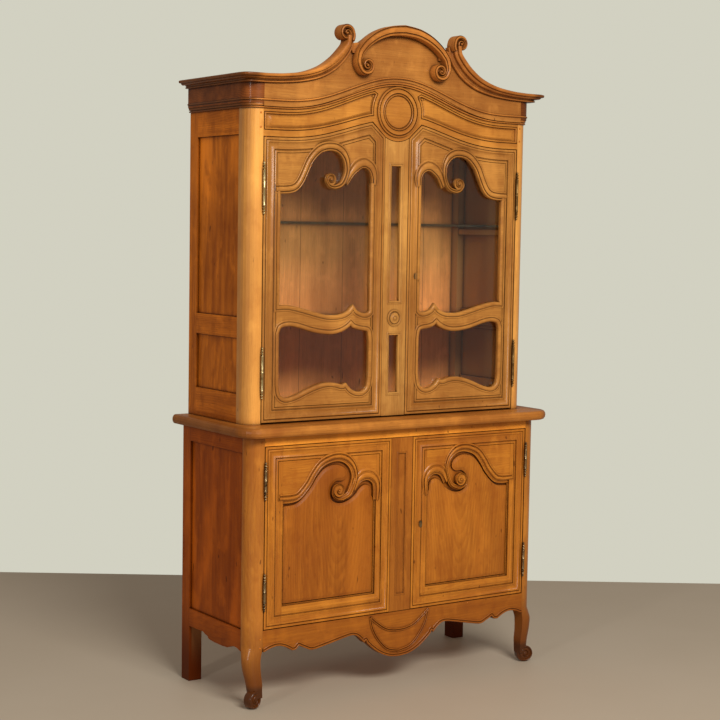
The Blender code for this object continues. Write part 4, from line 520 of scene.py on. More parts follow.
def plate(outline, front, start, end, holes=(), side=1):
    """A flat piece in the elevation, from one depth behind the front face to another."""
    mesh = bmesh.new()
    edges = []
    for loop in (outline, *holes):
        corners = [mesh.verts.new((a * side, front + start, b)) for a, b in loop]
        for first, second in zip(corners, corners[1:] + corners[:1]):
            edges.append(mesh.edges.new((first, second)))
    bmesh.ops.triangle_fill(mesh, use_beauty=True, use_dissolve=False, edges=edges)
    grown = bmesh.ops.extrude_face_region(mesh, geom=list(mesh.faces))
    moved = [item for item in grown["geom"] if isinstance(item, bmesh.types.BMVert)]
    bmesh.ops.translate(mesh, verts=moved, vec=(0, end - start, 0))
    bmesh.ops.recalc_face_normals(mesh, faces=mesh.faces)
    return mesh


def prism(outline, low, high):
    """A plan outline, raised from one height to another."""
    return skin([[Vector((x, y, z)) for x, y in outline] for z in (low, high)])


def add_piece(name, meshes, body, nodes, material):
    """One piece of the scene, made from several meshes, that stands for the CAD nodes."""
    joined = bmesh.new()
    for mesh in meshes:
        data = bpy.data.meshes.new("part")
        mesh.to_mesh(data)
        mesh.free()
        joined.from_mesh(data)
        bpy.data.meshes.remove(data)
    data = bpy.data.meshes.new(name)
    joined.to_mesh(data)
    joined.free()
    data.materials.append(MATERIALS[material])
    data.shade_smooth()
    data.set_sharp_from_angle(angle=radians(42))
    piece = link(name, data)
    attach(piece, body)
    if nodes:
        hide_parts(*nodes)


def link(name, data):
    thing = bpy.data.objects.new(name, data)
    bpy.context.scene.collection.objects.link(thing)
    return thing


# Places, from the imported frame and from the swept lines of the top

UPPER_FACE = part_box("upper_front_post_left")[0][1]
BASE_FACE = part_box("lower_top_rail")[0][1]
UPPER_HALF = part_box("upper_front_post_right")[1][0]
BASE_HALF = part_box("lower_side_frame_right")[1][0]
BASE_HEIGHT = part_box("lower_side_frame_right")[1][2]
CASE_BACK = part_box("countertop")[1][1]
DOOR_THICKNESS = 0.024
CORNER_RADIUS = 0.050
CORNER_START = UPPER_HALF - CORNER_RADIUS
DOOR_TOP_END = 1.907
DOOR_TOP_RISE = 0.080
FRIEZE_JOINT_END = 2.007
FRIEZE_JOINT_RISE = 0.113
CORNICE_BOTTOM = 2.083
MEDALLION_HEIGHT = 2.015
SWEEP_HALF_SPAN = 0.500
SWEEP_POWER = 1.4
LOBE_RADIUS = 0.100
LOBE_HALF = 0.0511
RUNNING_GAP = 2.2 * MM


def sweep_rise(x):
    """Share of the full rise of a swept line at distance x from the middle."""
    reach = min(abs(x) / SWEEP_HALF_SPAN, 1.0)
    return (0.5 + 0.5 * cos(pi * reach)) ** SWEEP_POWER


def swept(x_from, x_to, end, rise, steps):
    places = [x_from + (x_to - x_from) * k / steps for k in range(steps + 1)]
    return [Vector((x, end + rise * sweep_rise(x))) for x in places]


def lobe(radius, half):
    """The round lobe under the medallion, from right to left."""
    reach = acos(half / radius)
    return arc((0, MEDALLION_HEIGHT), (-reach, radius), (reach - pi, radius), 24)


# Doors

# Shapes of the carved bands, in thousandths of the opening's width, across from the hinge stile and up from
# the spring: the S line, the eye of its volute, the turns round it as (degrees, radius), and the small arch
BANDS = {
    "base": {
        "line": ((-35, 0), (100, 0), (182, 26), (272, 118), (326, 200), (403, 287), (497, 329), (589, 339),
                 (668, 316), (734, 258), (765, 179), (758, 105)),
        "eye": (594, 45),
        "turns": ((-12, 128), (-45, 94), (-90, 75), (-160, 63), (-270, 49), (-360, 37), (-450, 26),
                  (-540, 17)),
        "arch": ((762, 30), (822, 116), (905, 140), (972, 108), (1000, 50), (1000, -70)),
    },
    "upper": {
        "line": ((-55, 0), (77, 7), (153, 26), (204, 69), (243, 130), (279, 203), (316, 278), (364, 337),
                 (421, 384), (481, 408), (547, 416), (613, 406), (672, 370), (714, 311), (731, 244),
                 (728, 180)),
        "eye": (547, 123),
        "turns": ((-8, 148), (-47, 97), (-80, 74), (-125, 56), (-180, 50), (-270, 40), (-360, 30), (-450, 22),
                  (-540, 15)),
        "arch": ((728, 85), (800, 192), (905, 262), (990, 237), (1028, 165), (1033, 85)),
    },
}
# Runs that meet in points, in the same thousandths
MIDDLE_RAIL = (
    ((0, 0), (110, 2), (257, -28), (478, -84), (597, -93), (690, -82), (757, -52), (797, -12)),
    ((797, -12), (835, -52), (905, -79), (965, -75), (1000, -45)),
)
MIDDLE_RAIL_TOP = 1.338
# The low pane, anticlockwise from its lower corner at the meeting stile: (height, runs above that height)
LOW_PANE = (
    (1.080, (
        ((1000, 50), (978, -60), (925, -110), (860, -119), (790, -95), (748, -60), (728, -38)),
        ((728, -38), (690, -48), (620, -31), (540, -24), (460, -34), (353, -66), (203, -124), (90, -142),
         (20, -95), (0, 0)),
    )),
    (1.286, (
        ((0, -80), (30, -20), (110, 3), (220, -10), (380, -55), (540, -78), (650, -66), (730, -32), (775, 4)),
        ((775, 4), (815, -28), (880, -46), (950, -56), (985, -85), (1000, -160)),
    )),
)
FIELD_TOP = (
    (60, -75), (150, -62), (230, -10), (315, 78), (372, 158), (441, 228), (516, 258), (590, 258), (655, 225),
    (672, 180), (640, 150), (570, 150), (510, 105), (488, 40), (500, -35), (560, -82), (640, -92), (720, -70),
    (790, -25), (840, 30), (890, 55), (935, 30), (940, -60),
)

# Sections of the mouldings in millimetres: across and height in front of the face
EDGE_RING = moulded(
    (0.3, -8), (0.3, -1), (1.2, 0), (8.5, 0), (9.2, -1.8), (10.4, -1.8), (10.8, 0.2), (17.2, 0.6, 1.6),
    (18.2, -1), (36, 0.4, -3.6), (37.5, 1.2), (39, 0.6), (39.8, -2.6), (42, -2.8), (46.5, 0, 0.3), (52, 0),
    (52, -8),
)
S_RIM = moulded(
    (-10.3, -14), (-10.3, -1), (-9.6, 1.2), (-4.6, 1.6, 1.5), (-3.4, -0.6), (-2.2, -0.4), (-1.6, 2.6),
    (13.5, 2.6, 3.6), (14.2, 0.3), (15.6, 0.3), (16.2, 1.4), (21.6, 1, 1.7), (22.6, -0.2), (22.8, -3),
    (4, -14),
)
BASE_S_RIM = moulded(
    (-10.3, -14), (-10.3, -5), (-6, -5, 1), (-5.2, -5.6), (2.4, 2.6, -2.2), (3.4, 3.2), (11.6, 2.2, 2.2),
    (12.4, -0.2), (14.6, -0.2), (15.4, 1.4), (21.4, 1, 2), (22.6, -0.2), (22.8, -3), (4, -14),
)
PANE_RIM = moulded(
    (-10, -14), (-10, -1.5), (-9.4, 0.4), (3.2, 2, 2.4), (3.8, 0.15), (5.6, 0.15), (6.2, 1.4), (12, 0.1, 1.2),
    (12, -6), (3, -14),
)
PANEL_RIM = moulded(
    (-4, -14), (-4, -8.6), (5.5, -1, -2), (7.5, -0.6), (8.4, -2), (9.2, -2), (10, -0.2), (24.5, -1.4, 3),
    (26, -4), (30, -4.2), (30, -8), (4, -14),
)
MODEL_WIDTH = 0.37  # the opening's width that the sections of the carved bands are written for
VOLUTE_SHARES = (0.056, 0.0105)
VOLUTE_HEIGHTS = (-12, 1.2, 2.6, 2.6)
VOLUTE_COLLAR = ((1.25, 1.8), (1.05, 1.2))
INNER_NARROWING = 0.76
OUTER_NARROWING = 0.58
SQUEEZE = 0.22
SQUEEZE_STEPS = 4
LEAST_OUTSIDE = 0.36
ARCH_SIZE = (0.80, 0.90)
ARCH_SPREAD = 1.9
ARCH_END_SPREAD = 0.8
ARCH_LEVEL_SHARE = 0.45
ARCH_RISEN_SHARE = 0.30
ARCH_START_SHARE = 0.35
ARCH_SINK = 7.0 * MM
SMOOTHING = 4
RING_WIDTH = 0.056
RING_REACH = 50 * MM
EDGE_GAP = 0.3 * MM
FACE_PLATE = (0, 8 * MM)
CORE_PLATE = (5 * MM, 16 * MM)
BACK_PLATE = (15.5 * MM, DOOR_THICKNESS)
REAR_PLATE = (4 * MM, DOOR_THICKNESS)
BASE_STILES = (0.070, 0.0635)
BASE_BOTTOM_RAIL = 0.072
BASE_SPRING = 0.697
BASE_ARCH_END = 0.062
FIELD_EDGE = 7 * MM
FIELD_SLOPE = 12 * MM
FIELD_STEPS = ((0, -15.0), (0, -8.0), (0.5, -6.2), (0.85, -3.9), (1.0, -3.4))
PANEL_BACKSET = 8.7 * MM
UPPER_STILES = (0.0665, 0.059)
UPPER_WIDENED = (0.010, 0.012)
UPPER_SPRING = 1.7295
UPPER_ARCH_END = 0.10
CHAMFER_REACH = 0.1062


class Opening:
    """Turns thousandths of an opening's width into places."""

    def __init__(self, outer, inner, spring):
        self.outer, self.inner, self.spring = outer, inner, spring
        self.width = outer - inner

    def places(self, shares, height=None):
        height = height or self.spring
        return [Vector((self.outer - self.width * a / 1000, height + self.width * b / 1000))
                for a, b in shares]


def top_hole(opening, outer, shape):
    """Upper edge of an opening, under the ridge of the carved bands."""
    crown = smooth_line(opening.places(shape["line"]), SMOOTHING)
    crown = [point for point in crown if point.x < outer - MM]
    return [(outer, opening.spring), *crown, *smooth_line(opening.places(shape["arch"]), SMOOTHING)]


def carved_bands(opening, shape, front, side, profile):
    """The S band that narrows into its volute, the small arch beside it, and the volute's button."""
    start = opening.places(shape["line"])
    eye = opening.places([shape["eye"]])[0]
    turns = [(180 - angle, opening.width * radius / 1000) for angle, radius in shape["turns"]]
    coarse = start + spiral(eye, turns, 2)
    line = smooth_line(coarse, SMOOTHING)
    widths = []
    for k in range(len(line)):
        step = k / SMOOTHING - len(start)
        past = max(0.0, step / (len(coarse) - len(start)))
        outside = (max(LEAST_OUTSIDE, 1 - SQUEEZE * max(0, step + SQUEEZE_STEPS))
                   * (1 - OUTER_NARROWING * past))
        widths.append((1 - INNER_NARROWING * past, outside))
    size = opening.width / MODEL_WIDTH
    arch = smooth_line(opening.places(shape["arch"]), SMOOTHING)
    spread, sinks = [], []
    for k in range(len(arch)):
        share = k / (len(arch) - 1)
        past = max(0.0, share - ARCH_LEVEL_SHARE) / (1 - ARCH_LEVEL_SHARE)
        opened = min(1.0, ARCH_START_SHARE + (1 - ARCH_START_SHARE) * share / ARCH_RISEN_SHARE)
        spread.append((1.0, (ARCH_SPREAD * (1 - past) + ARCH_END_SPREAD * past) * opened))
        sinks.append(ARCH_SINK * max(0.0, 1 - share / ARCH_RISEN_SHARE) ** 2)
    small = scaled(profile, size * ARCH_SIZE[0], ARCH_SIZE[1])
    return [
        band(line, flip(scaled(profile, size)), front, widths=widths, side=side),
        band(arch, flip(small), front, widths=spread, side=side, sinks=sinks),
        button(*[share * opening.width for share in VOLUTE_SHARES], VOLUTE_HEIGHTS, VOLUTE_COLLAR,
               (side * eye.x, front, eye.y)),
    ]


def door_skins(outline, holes, pocket, front, side):
    """Moulded ring, face, core and pocketed back of a door."""
    edge = inset(outline, EDGE_GAP)
    return [
        band(outline, EDGE_RING, front, closed=True, side=side),
        plate(inset(outline, RING_REACH), front, *FACE_PLATE, holes, side),
        plate(edge, front, *CORE_PLATE, holes, side),
        plate(edge, front, *BACK_PLATE, [pocket], side),
    ]


def around(node, margin, side):
    """The outline of a node in the elevation, a little larger, for the right-hand side."""
    low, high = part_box(node)
    xs = sorted((low[0] * side, high[0] * side))
    return rectangle(xs[0] - margin, xs[1] + margin, low[2] - margin, high[2] + margin)


def door_edges(node):
    """A door's distances from the middle of the case and its heights."""
    low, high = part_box(node)
    return *sorted((abs(low[0]), abs(high[0]))), low[2], high[2]


def base_door(word, side):
    node = f"lower_{word}_door_frame"
    inner, outer, foot, head = door_edges(node)
    opening = Opening(outer - BASE_STILES[0], inner + BASE_STILES[1], BASE_SPRING)
    bottom = foot + BASE_BOTTOM_RAIL
    sill = [(opening.inner, bottom), (opening.outer, bottom)]
    hole = top_hole(opening, opening.outer, BANDS["base"]) + sill
    pocket = around(f"lower_{word}_door_panel", MM / 2, side)
    meshes = door_skins(rectangle(inner, outer, foot, head), [hole], pocket, BASE_FACE, side)
    meshes += carved_bands(opening, BANDS["base"], BASE_FACE, side, BASE_S_RIM)
    near_end = BASE_SPRING - opening.width * BASE_ARCH_END
    rim = [(opening.inner, near_end), *sill, (opening.outer, BASE_SPRING)]
    snug = (BASE_STILES[1] - 40 * MM) / (30 * MM)
    widths = [(1.0, snug), (1.0, 1.0), (1.0, 1.0), (1.0, 1.0)]
    meshes.append(band(rim, flip(PANEL_RIM), BASE_FACE, widths=widths, side=side))
    add_piece(f"base_door_{word}", meshes, f"lower_{word}_door", [node], f"base_door_wood_{word}")
    base_panel(word, side, opening, bottom)


def base_panel(word, side, opening, bottom):
    """The wooden panel: a board in the pocket, and a raised field that follows the S line."""
    node = f"lower_{word}_door_panel"
    front = BASE_FACE + DOOR_THICKNESS - PANEL_BACKSET
    board = plate(around(node, 0, side), front, 0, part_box(node)[1][1] - front, side=side)
    top = smooth_line(opening.places(FIELD_TOP), 3)
    drawn_in = [point - normal * FIELD_EDGE for point, normal in zip(top, left_normals(top))]
    near, far = opening.inner + FIELD_EDGE, opening.outer - FIELD_EDGE
    drawn_in[0].x, drawn_in[-1].x = far, near
    loop = [(near, bottom + FIELD_EDGE), (far, bottom + FIELD_EDGE), *drawn_in]
    field = skin([
        [Vector((side * point.x, BASE_FACE - height * MM, point.y))
         for point in inset(loop, share * FIELD_SLOPE)]
        for share, height in FIELD_STEPS])
    add_piece(f"base_panel_{word}", [board, field], f"lower_{word}_door", [node], f"base_panel_wood_{word}")


def upper_door(word, side):
    node = f"upper_{word}_door_frame"
    inner, outer, foot, _ = door_edges(node)
    head = swept(outer - RING_WIDTH, CHAMFER_REACH + RING_WIDTH / 2, DOOR_TOP_END, DOOR_TOP_RISE, 24)
    chamfer = (CHAMFER_REACH, DOOR_TOP_END + DOOR_TOP_RISE * sweep_rise(CHAMFER_REACH))
    corner = MEDALLION_HEIGHT - sqrt(LOBE_RADIUS**2 - LOBE_HALF**2) - RUNNING_GAP
    outline = [(inner, foot), (outer, foot), (outer, DOOR_TOP_END), *head, chamfer, (inner, corner)]
    opening = Opening(outer - UPPER_STILES[0], inner + UPPER_STILES[1], UPPER_SPRING)
    wide = Opening(opening.outer + UPPER_WIDENED[0], opening.inner - UPPER_WIDENED[1], UPPER_SPRING)
    middle = pointed_line([wide.places(run, MIDDLE_RAIL_TOP) for run in MIDDLE_RAIL])[::-1]
    hole = top_hole(opening, wide.outer, BANDS["upper"]) + middle
    low_rim = []
    for height, runs in LOW_PANE:
        low_rim += pointed_line([wide.places(run, height) for run in runs])
    pocket = around(f"upper_{word}_door_glass", MM / 2, side)
    meshes = door_skins(outline, [hole, low_rim], pocket, UPPER_FACE, side)
    meshes += carved_bands(opening, BANDS["upper"], UPPER_FACE, side, S_RIM)
    near_end = UPPER_SPRING + opening.width * UPPER_ARCH_END
    rim = [(wide.inner, near_end), *middle, (wide.outer, UPPER_SPRING)]
    meshes.append(band(rim, flip(PANE_RIM), UPPER_FACE, side=side))
    meshes.append(band(low_rim, flip(PANE_RIM), UPPER_FACE, closed=True, side=side))
    add_piece(f"glazed_door_{word}", meshes, f"upper_{word}_door", [node], f"upper_door_wood_{word}")


# Centre stiles

SLOT_RIM = moulded(
    (-4, -14), (-4, -3), (0, 0.4, 0.8), (1.2, 0.6), (1.8, -0.9), (2.8, -0.9), (3.4, 0.4), (7.6, 0.2, 1.5),
    (8.4, -1), (9, -1), (9, -8), (3, -14),
)
SUNK_RIM = moulded((-3, -7), (-3, -4.2), (2, -0.6, -0.6), (3, 0.3), (5.2, 0.2, 0.8), (6, -0.6), (6, -7))
ROSETTE = moulded(
    (30, -3), (30, 2.2), (25.5, 4.6, 1.2), (22.5, 2.4), (21.6, 0.4), (19.8, 0.4), (18.8, 2.8, 0.6),
    (8, 5.8, 1), (7.2, 4.8), (6.4, 4.8), (5.8, 6.2), (0.5, 7.6, 0.8),
)
ROSETTE_HEIGHT = 1.298
SLOT_HALF = 0.0235
SLOT_SPANS = ((1.032, 1.241), (1.3545, 1.832))
SUNK_FIELD = (-0.0165, 0.0165, 0.327, 0.827)


def upper_stile():
    low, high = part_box("upper_centre_stile")
    half = high[0]
    outline = [(-half, low[2]), (half, low[2]), *lobe(LOBE_RADIUS + RUNNING_GAP, half)]
    slots = [rectangle(-SLOT_HALF, SLOT_HALF, *span) for span in SLOT_SPANS]
    pocket = around("upper_centre_glass", MM / 2, 1)
    meshes = [
        plate(outline, UPPER_FACE, 0, CORE_PLATE[1], slots),
        plate(outline, UPPER_FACE, *BACK_PLATE, [pocket]),
        *[band(slot, flip(SLOT_RIM), UPPER_FACE, closed=True) for slot in slots],
        turned(ROSETTE, (0, UPPER_FACE, ROSETTE_HEIGHT)),
    ]
    add_piece("glazed_stile", meshes, "upper_left_door", ["upper_centre_stile"], "stile_wood")


def lower_stile():
    low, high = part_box("lower_centre_stile")
    outline = rectangle(low[0], high[0], low[2], high[2])
    sunk = rectangle(*SUNK_FIELD)
    meshes = [
        plate(outline, BASE_FACE, *FACE_PLATE, [sunk]),
        plate(outline, BASE_FACE, *REAR_PLATE),
        band(sunk, flip(SUNK_RIM), BASE_FACE, closed=True),
    ]
    add_piece("base_stile", meshes, "lower_left_door", ["lower_centre_stile"], "base_stile_wood")


# Frieze, architrave and cornice

FRIEZE_RIM = moulded(
    (-10, -5.6), (-10, 0.2), (-2.4, -4.6), (-0.6, -5), (0, 0.4), (5.4, 0.2, 1.8), (5.8, -2.8), (7.6, -2.8),
    (8, 0), (8, -5),
)
FRIEZE_PLATE = (0, 6 * MM)
FIELD_PLATE = (-0.2 * MM, 6 * MM)
FRIEZE_RIM_REACH = 7.9 * MM
FRIEZE_SLOPE = 9.8 * MM
FRIEZE_SLOPE_MODEL = 10 * MM
FRIEZE_END_SLOPE = 21 * MM
SUNK_END = 9.4 * MM
SUNK_STARTS = (0.118, 0.100)
SUNK_MARGINS = (30 * MM, 24 * MM)
SUNK_RADIUS = 0.109
MEDALLION = moulded(
    (87, -2), (87, 5), (81.5, 7.4, 1.5), (80.4, 3), (78.6, 3), (78, 6.2), (66, 6.8, 1.2), (65.2, 1.6),
    (63.2, 1.6), (62.6, 5.4), (57.5, 6.4, 1.6), (56.6, 2.2), (54.8, 2.2), (54, 4), (1, 6.6, 1),
)
ARCHITRAVE = moulded(
    (-16, 0), (-16, 4.4), (-11, 4.8, 1.8), (-10.4, 1.4), (-8.9, 1.4), (-8.6, 6), (-2.4, 6.8, 0.6),
    (-1.8, 8.6), (6.5, 11.2, -2), (6.9, 7.6), (8.5, 7.6), (8.8, 11.4), (13.6, 12.2, 1.4), (14.2, 8.6),
    (16, 8.4), (16, 0),
)
ARCHITRAVE_LIFT = 10 * MM
CREST_PROJECTION = 10 * MM
CORNICE_SECTION = moulded(
    (0, 0.6), (0, 19), (4.2, 21, 1.4), (5, 18.5), (6, 19), (11, 27, -2.2), (16, 39, 2.6), (16.8, 37),
    (17.6, 45.5), (18.6, 46.5), (25.5, 47, 0.9), (27.5, 43), (27.5, 0.6),
)
CORNICE_HEIGHT = 27.5 * MM
CORNICE_SQUARENESS = 0.30
SQUARE_FROM = 20 * MM


def frieze():
    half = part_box("frieze_rail")[1][0]
    top = swept(-half, half, FRIEZE_JOINT_END, FRIEZE_JOINT_RISE, 60)
    run = swept(half, CHAMFER_REACH - 2 * MM, DOOR_TOP_END + RUNNING_GAP, DOOR_TOP_RISE, 28)
    outline = top + run + lobe(LOBE_RADIUS, LOBE_HALF) + mirrored(run[::-1])
    sunk, corner = sunk_panel(half - SUNK_END)
    sunk_edge = inset(sunk, -FRIEZE_RIM_REACH)
    field = inset(sunk, FRIEZE_SLOPE)
    apex = Vector((sunk[corner].x - FRIEZE_END_SLOPE, (sunk[corner].y + sunk[corner + 1].y) / 2))
    field[corner:corner + 2] = [apex]
    widths = [(1.0, 1.0)] * len(sunk)
    widths[corner] = widths[corner + 1] = (FRIEZE_END_SLOPE / FRIEZE_SLOPE_MODEL, 1.0)
    meshes = [
        plate(outline, UPPER_FACE, *FRIEZE_PLATE, [sunk_edge, mirrored(sunk_edge[::-1])]),
        plate(outline, UPPER_FACE, *REAR_PLATE),
        turned(MEDALLION, (0, UPPER_FACE, MEDALLION_HEIGHT), steps=72),
    ]
    for side in SIDES.values():
        meshes.append(band(sunk, flip(FRIEZE_RIM), UPPER_FACE, closed=True, widths=widths, side=side))
        meshes.append(plate(field, UPPER_FACE, *FIELD_PLATE, side=side))
    add_piece("frieze", meshes, "carcase", ["frieze_rail"], "frieze_wood")


def sunk_panel(out):
    """Outline of a sunk panel, anticlockwise, and the number of its lower outer corner.

    Its inner end is hollow and follows the medallion.
    """
    bottom = swept(SUNK_STARTS[0], out, DOOR_TOP_END + SUNK_MARGINS[0], DOOR_TOP_RISE, 24)
    top = swept(out, SUNK_STARTS[1], FRIEZE_JOINT_END - SUNK_MARGINS[1], FRIEZE_JOINT_RISE - 8 * MM, 26)
    start, end = (
        (atan2(point.y - MEDALLION_HEIGHT, point.x), SUNK_RADIUS) for point in (top[-1], bottom[0]))
    ring = arc((0, MEDALLION_HEIGHT), start, end, 8)
    base = [point for point in bottom if point.x > ring[-1].x + MM]
    return base + [point for point in top if point.x > ring[0].x + MM] + ring, len(base) - 1


def corner_rings(profile, height, roundness=1.0):
    """A moulding from the left side's back to its front's start; less roundness, a squarer corner."""
    rings = [[Vector((-UPPER_HALF - forward, CASE_BACK, height + up)) for up, forward in profile]]
    for k in range(17):
        across, ahead = cos(QUARTER * k / 16), sin(QUARTER * k / 16)
        ring = []
        for up, forward in profile:
            power = 1 + (roundness - 1) * max(0.0, min(1.0, forward / SQUARE_FROM))
            reach = CORNER_RADIUS + forward
            x = CORNER_RADIUS - UPPER_HALF - reach * abs(across) ** power
            ring.append(Vector((x, UPPER_FACE + CORNER_RADIUS - reach * ahead**power, height + up)))
        rings.append(ring)
    return rings


def wrapped_band(line, profile, height, scales, roundness=1.0):
    """A moulding that runs along the left side, round the corner and then along a line on the front."""
    rings = corner_rings(profile, height, roundness)
    for point, normal, scale in zip(line[1:], left_normals(line)[1:], scales[1:]):
        spots = [(point + normal * up * scale, forward) for up, forward in profile]
        rings.append([Vector((spot.x, UPPER_FACE - forward, spot.y)) for spot, forward in spots])
    return rings


def architrave():
    start = FRIEZE_JOINT_END + ARCHITRAVE_LIFT
    line = swept(-CORNER_START, 0, start, FRIEZE_JOINT_RISE - ARCHITRAVE_LIFT, 36)
    profile = [(up, EDGE_GAP + out) for up, out in ARCHITRAVE]
    left = wrapped_band(line, profile, start, [1.0] * len(line))
    right = [mirrored(ring) for ring in left[-2::-1]]
    add_piece("architrave", [skin(left + right)], "carcase", ["architrave_moulding"], "cornice_wood")


WING_IN = 0.201
# Lines of the top: millimetres from the middle and above the foot of the cornice
WING_LINE = (
    # lower edge of a wing: thousandths of the way out to the corner, rise, width of the band
    (1000, 0, 27.5), (809, 3, 28.5), (577, 12, 32), (362, 31, 38.5), (194, 63, 43), (78, 102, 43),
    (20, 135, 40), (0, 169, 40),
)
VOLUTE_EYE = (243, 182)
VOLUTE_TURNS = ((225, 32), (180, 26.5), (90, 23.5), (0, 21), (-90, 16.5), (-180, 12.5), (-270, 9), (-360, 6))
ARCH_LINE = ((0, 210), (60, 203), (115, 182.5), (160, 151), (184, 122))
ARCH_HALF_WIDTH = 0.0180
ARCH_END_SHARES = (0.65, 0.60, 0.13)
ARCH_EYE = (157, 80)
ARCH_TURNS = ((32, 39), (-12, 29), (-80, 25), (-180, 22.5), (-270, 17.5), (-360, 13), (-450, 9), (-540, 6))
SHOULDER_LINE = ((160, 120), (206, 120), (216, 150), (190, 156), (168, 153))
SHOULDER_PLATE = (-20 * MM, -1 * MM)
CORNICE_PROJECTION = 0.045
SCROLL_SECTION = (
    # share across the band, projection as a share of the cornice's
    (-1, 0.03), (-1, 0.78), (-0.92, 0.88), (-0.62, 0.93), (-0.52, 0.84), (-0.40, 0.84), (-0.34, 0.95),
    (0.05, 1), (0.45, 0.985), (0.62, 0.90), (0.72, 0.80), (0.82, 0.80), (0.88, 0.90), (1, 0.84), (1, 0.03),
)
VOLUTE_HALF_WIDTHS = (0.0085, 0.0027)
SCROLL_MIDDLES = ((VOLUTE_EYE, 0.0200, 0.0046), (ARCH_EYE, 0.0190, 0.0042))  # eye, core, button
SCROLL_HEIGHTS = (0.6, 30, 39, 6.5)
SCROLL_COLLAR = ((1.3, 31), (1.1, 30))
# Upper edge of the crest board: behind a wing in thousandths of the way out,
# behind the arch in millimetres
CREST_WING = ((1000, 14), (809, 16), (577, 27), (362, 49), (194, 83), (101, 117), (61, 145))
CREST_ARCH = ((196, 149), (172, 153), (140, 175), (100, 195), (50, 211), (0, 216))


def raised(line):
    """Places from millimetres above the foot of the cornice."""
    return [Vector((x * MM, CORNICE_BOTTOM + rise * MM)) for x, rise in line]


def wing_place(share):
    """Millimetres from the middle for thousandths of the way out to the corner."""
    return (WING_IN + (CORNER_START - WING_IN) * share / 1000) / MM


def in_metres(turns):
    return [(angle, radius * MM) for angle, radius in turns]


def cornice_wing(side):
    """One side of the cornice: along the side, round the corner and up in a hollow curve to its volute."""
    points = smooth_line(raised([(-wing_place(share), rise) for share, rise, _ in WING_LINE]), 5)
    widths = smooth_line([(share / 1000, width * MM) for share, _, width in WING_LINE], 5)
    scales = [width.y / CORNICE_HEIGHT for width in widths]
    rings = wrapped_band(points, CORNICE_SECTION, CORNICE_BOTTOM, scales, CORNICE_SQUARENESS)
    return skin([mirrored(ring) for ring in rings] if side > 0 else rings)


def scroll_band(line, half_widths, side):
    profile = [(across, CORNICE_PROJECTION * out) for across, out in SCROLL_SECTION]
    return band(line, profile, UPPER_FACE, widths=[(half, half) for half in half_widths], side=side)


def cornice_volute(side):
    line = smooth_line(spiral(raised([VOLUTE_EYE])[0], in_metres(VOLUTE_TURNS), 3), 3)
    start, end = VOLUTE_HALF_WIDTHS
    return scroll_band(line, [start + (end - start) * k / (len(line) - 1) for k in range(len(line))], side)


def arch_scroll():
    """Half of the arched moulding, from the middle to its inward scroll."""
    top = smooth_line(raised(ARCH_LINE), 2)
    coarse = top + spiral(raised([ARCH_EYE])[0], in_metres(ARCH_TURNS), 3)
    line = smooth_line(coarse, 3)
    low, scroll, tip = ARCH_END_SHARES
    halves = []
    for k in range(len(line)):
        step = k / 3
        if step < len(top):
            halves.append(ARCH_HALF_WIDTH * (1 + (low - 1) * step / len(top)))
        else:
            past = (step - len(top)) / (len(coarse) - len(top) - 1)
            halves.append(ARCH_HALF_WIDTH * (scroll + (tip - scroll) * min(past, 1.0)))
    return line, halves


def cornice():
    line, halves = arch_scroll()
    meshes = [scroll_band(mirrored(line[:0:-1]) + line, halves[:0:-1] + halves, 1)]
    for side in SIDES.values():
        meshes += [cornice_wing(side), cornice_volute(side)]
        for eye, core, radius in SCROLL_MIDDLES:
            spot = raised([eye])[0]
            centre = (side * spot.x, UPPER_FACE, spot.y)
            meshes.append(button(core, radius, SCROLL_HEIGHTS, SCROLL_COLLAR, centre))
        meshes.append(plate(raised(SHOULDER_LINE), UPPER_FACE, *SHOULDER_PLATE, side=side))
    add_piece("cornice", meshes, "carcase", ["cornice_moulding"], "cornice_wood")


def crest():
    """The board under the cornice, which stands out a little, and its rounded ends along the sides."""
    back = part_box("crest_board")[1][1]
    joint = CORNER_START + MM
    low = swept(-joint, joint, FRIEZE_JOINT_END, FRIEZE_JOINT_RISE, 48)
    right = raised([(wing_place(share), rise) for share, rise in CREST_WING] + list(CREST_ARCH))
    right = [Vector((min(point.x, joint), point.y)) for point in right]
    board = plate(low + whole(right), UPPER_FACE, -CREST_PROJECTION, back - UPPER_FACE)
    add_piece("crest", [board], "carcase", ["crest_board"], "crest_wood")
    foot = FRIEZE_JOINT_END + ARCHITRAVE_LIFT
    height = CORNICE_BOTTOM + 6 * MM - foot
    left = corner_rings(
        [(0, EDGE_GAP), (0, CREST_PROJECTION), (height, CREST_PROJECTION), (height, EDGE_GAP)], foot)
    right = [mirrored(ring) for ring in left]
    # The ends take the very dark tone: painted shade under the cornice.
    add_piece("crest_ends", [skin(left), skin(right)], "carcase", [], "shaded_crest_end_wood")


# Apron

APRON_TOP = 0.2638
APRON_DROP = 0.1618
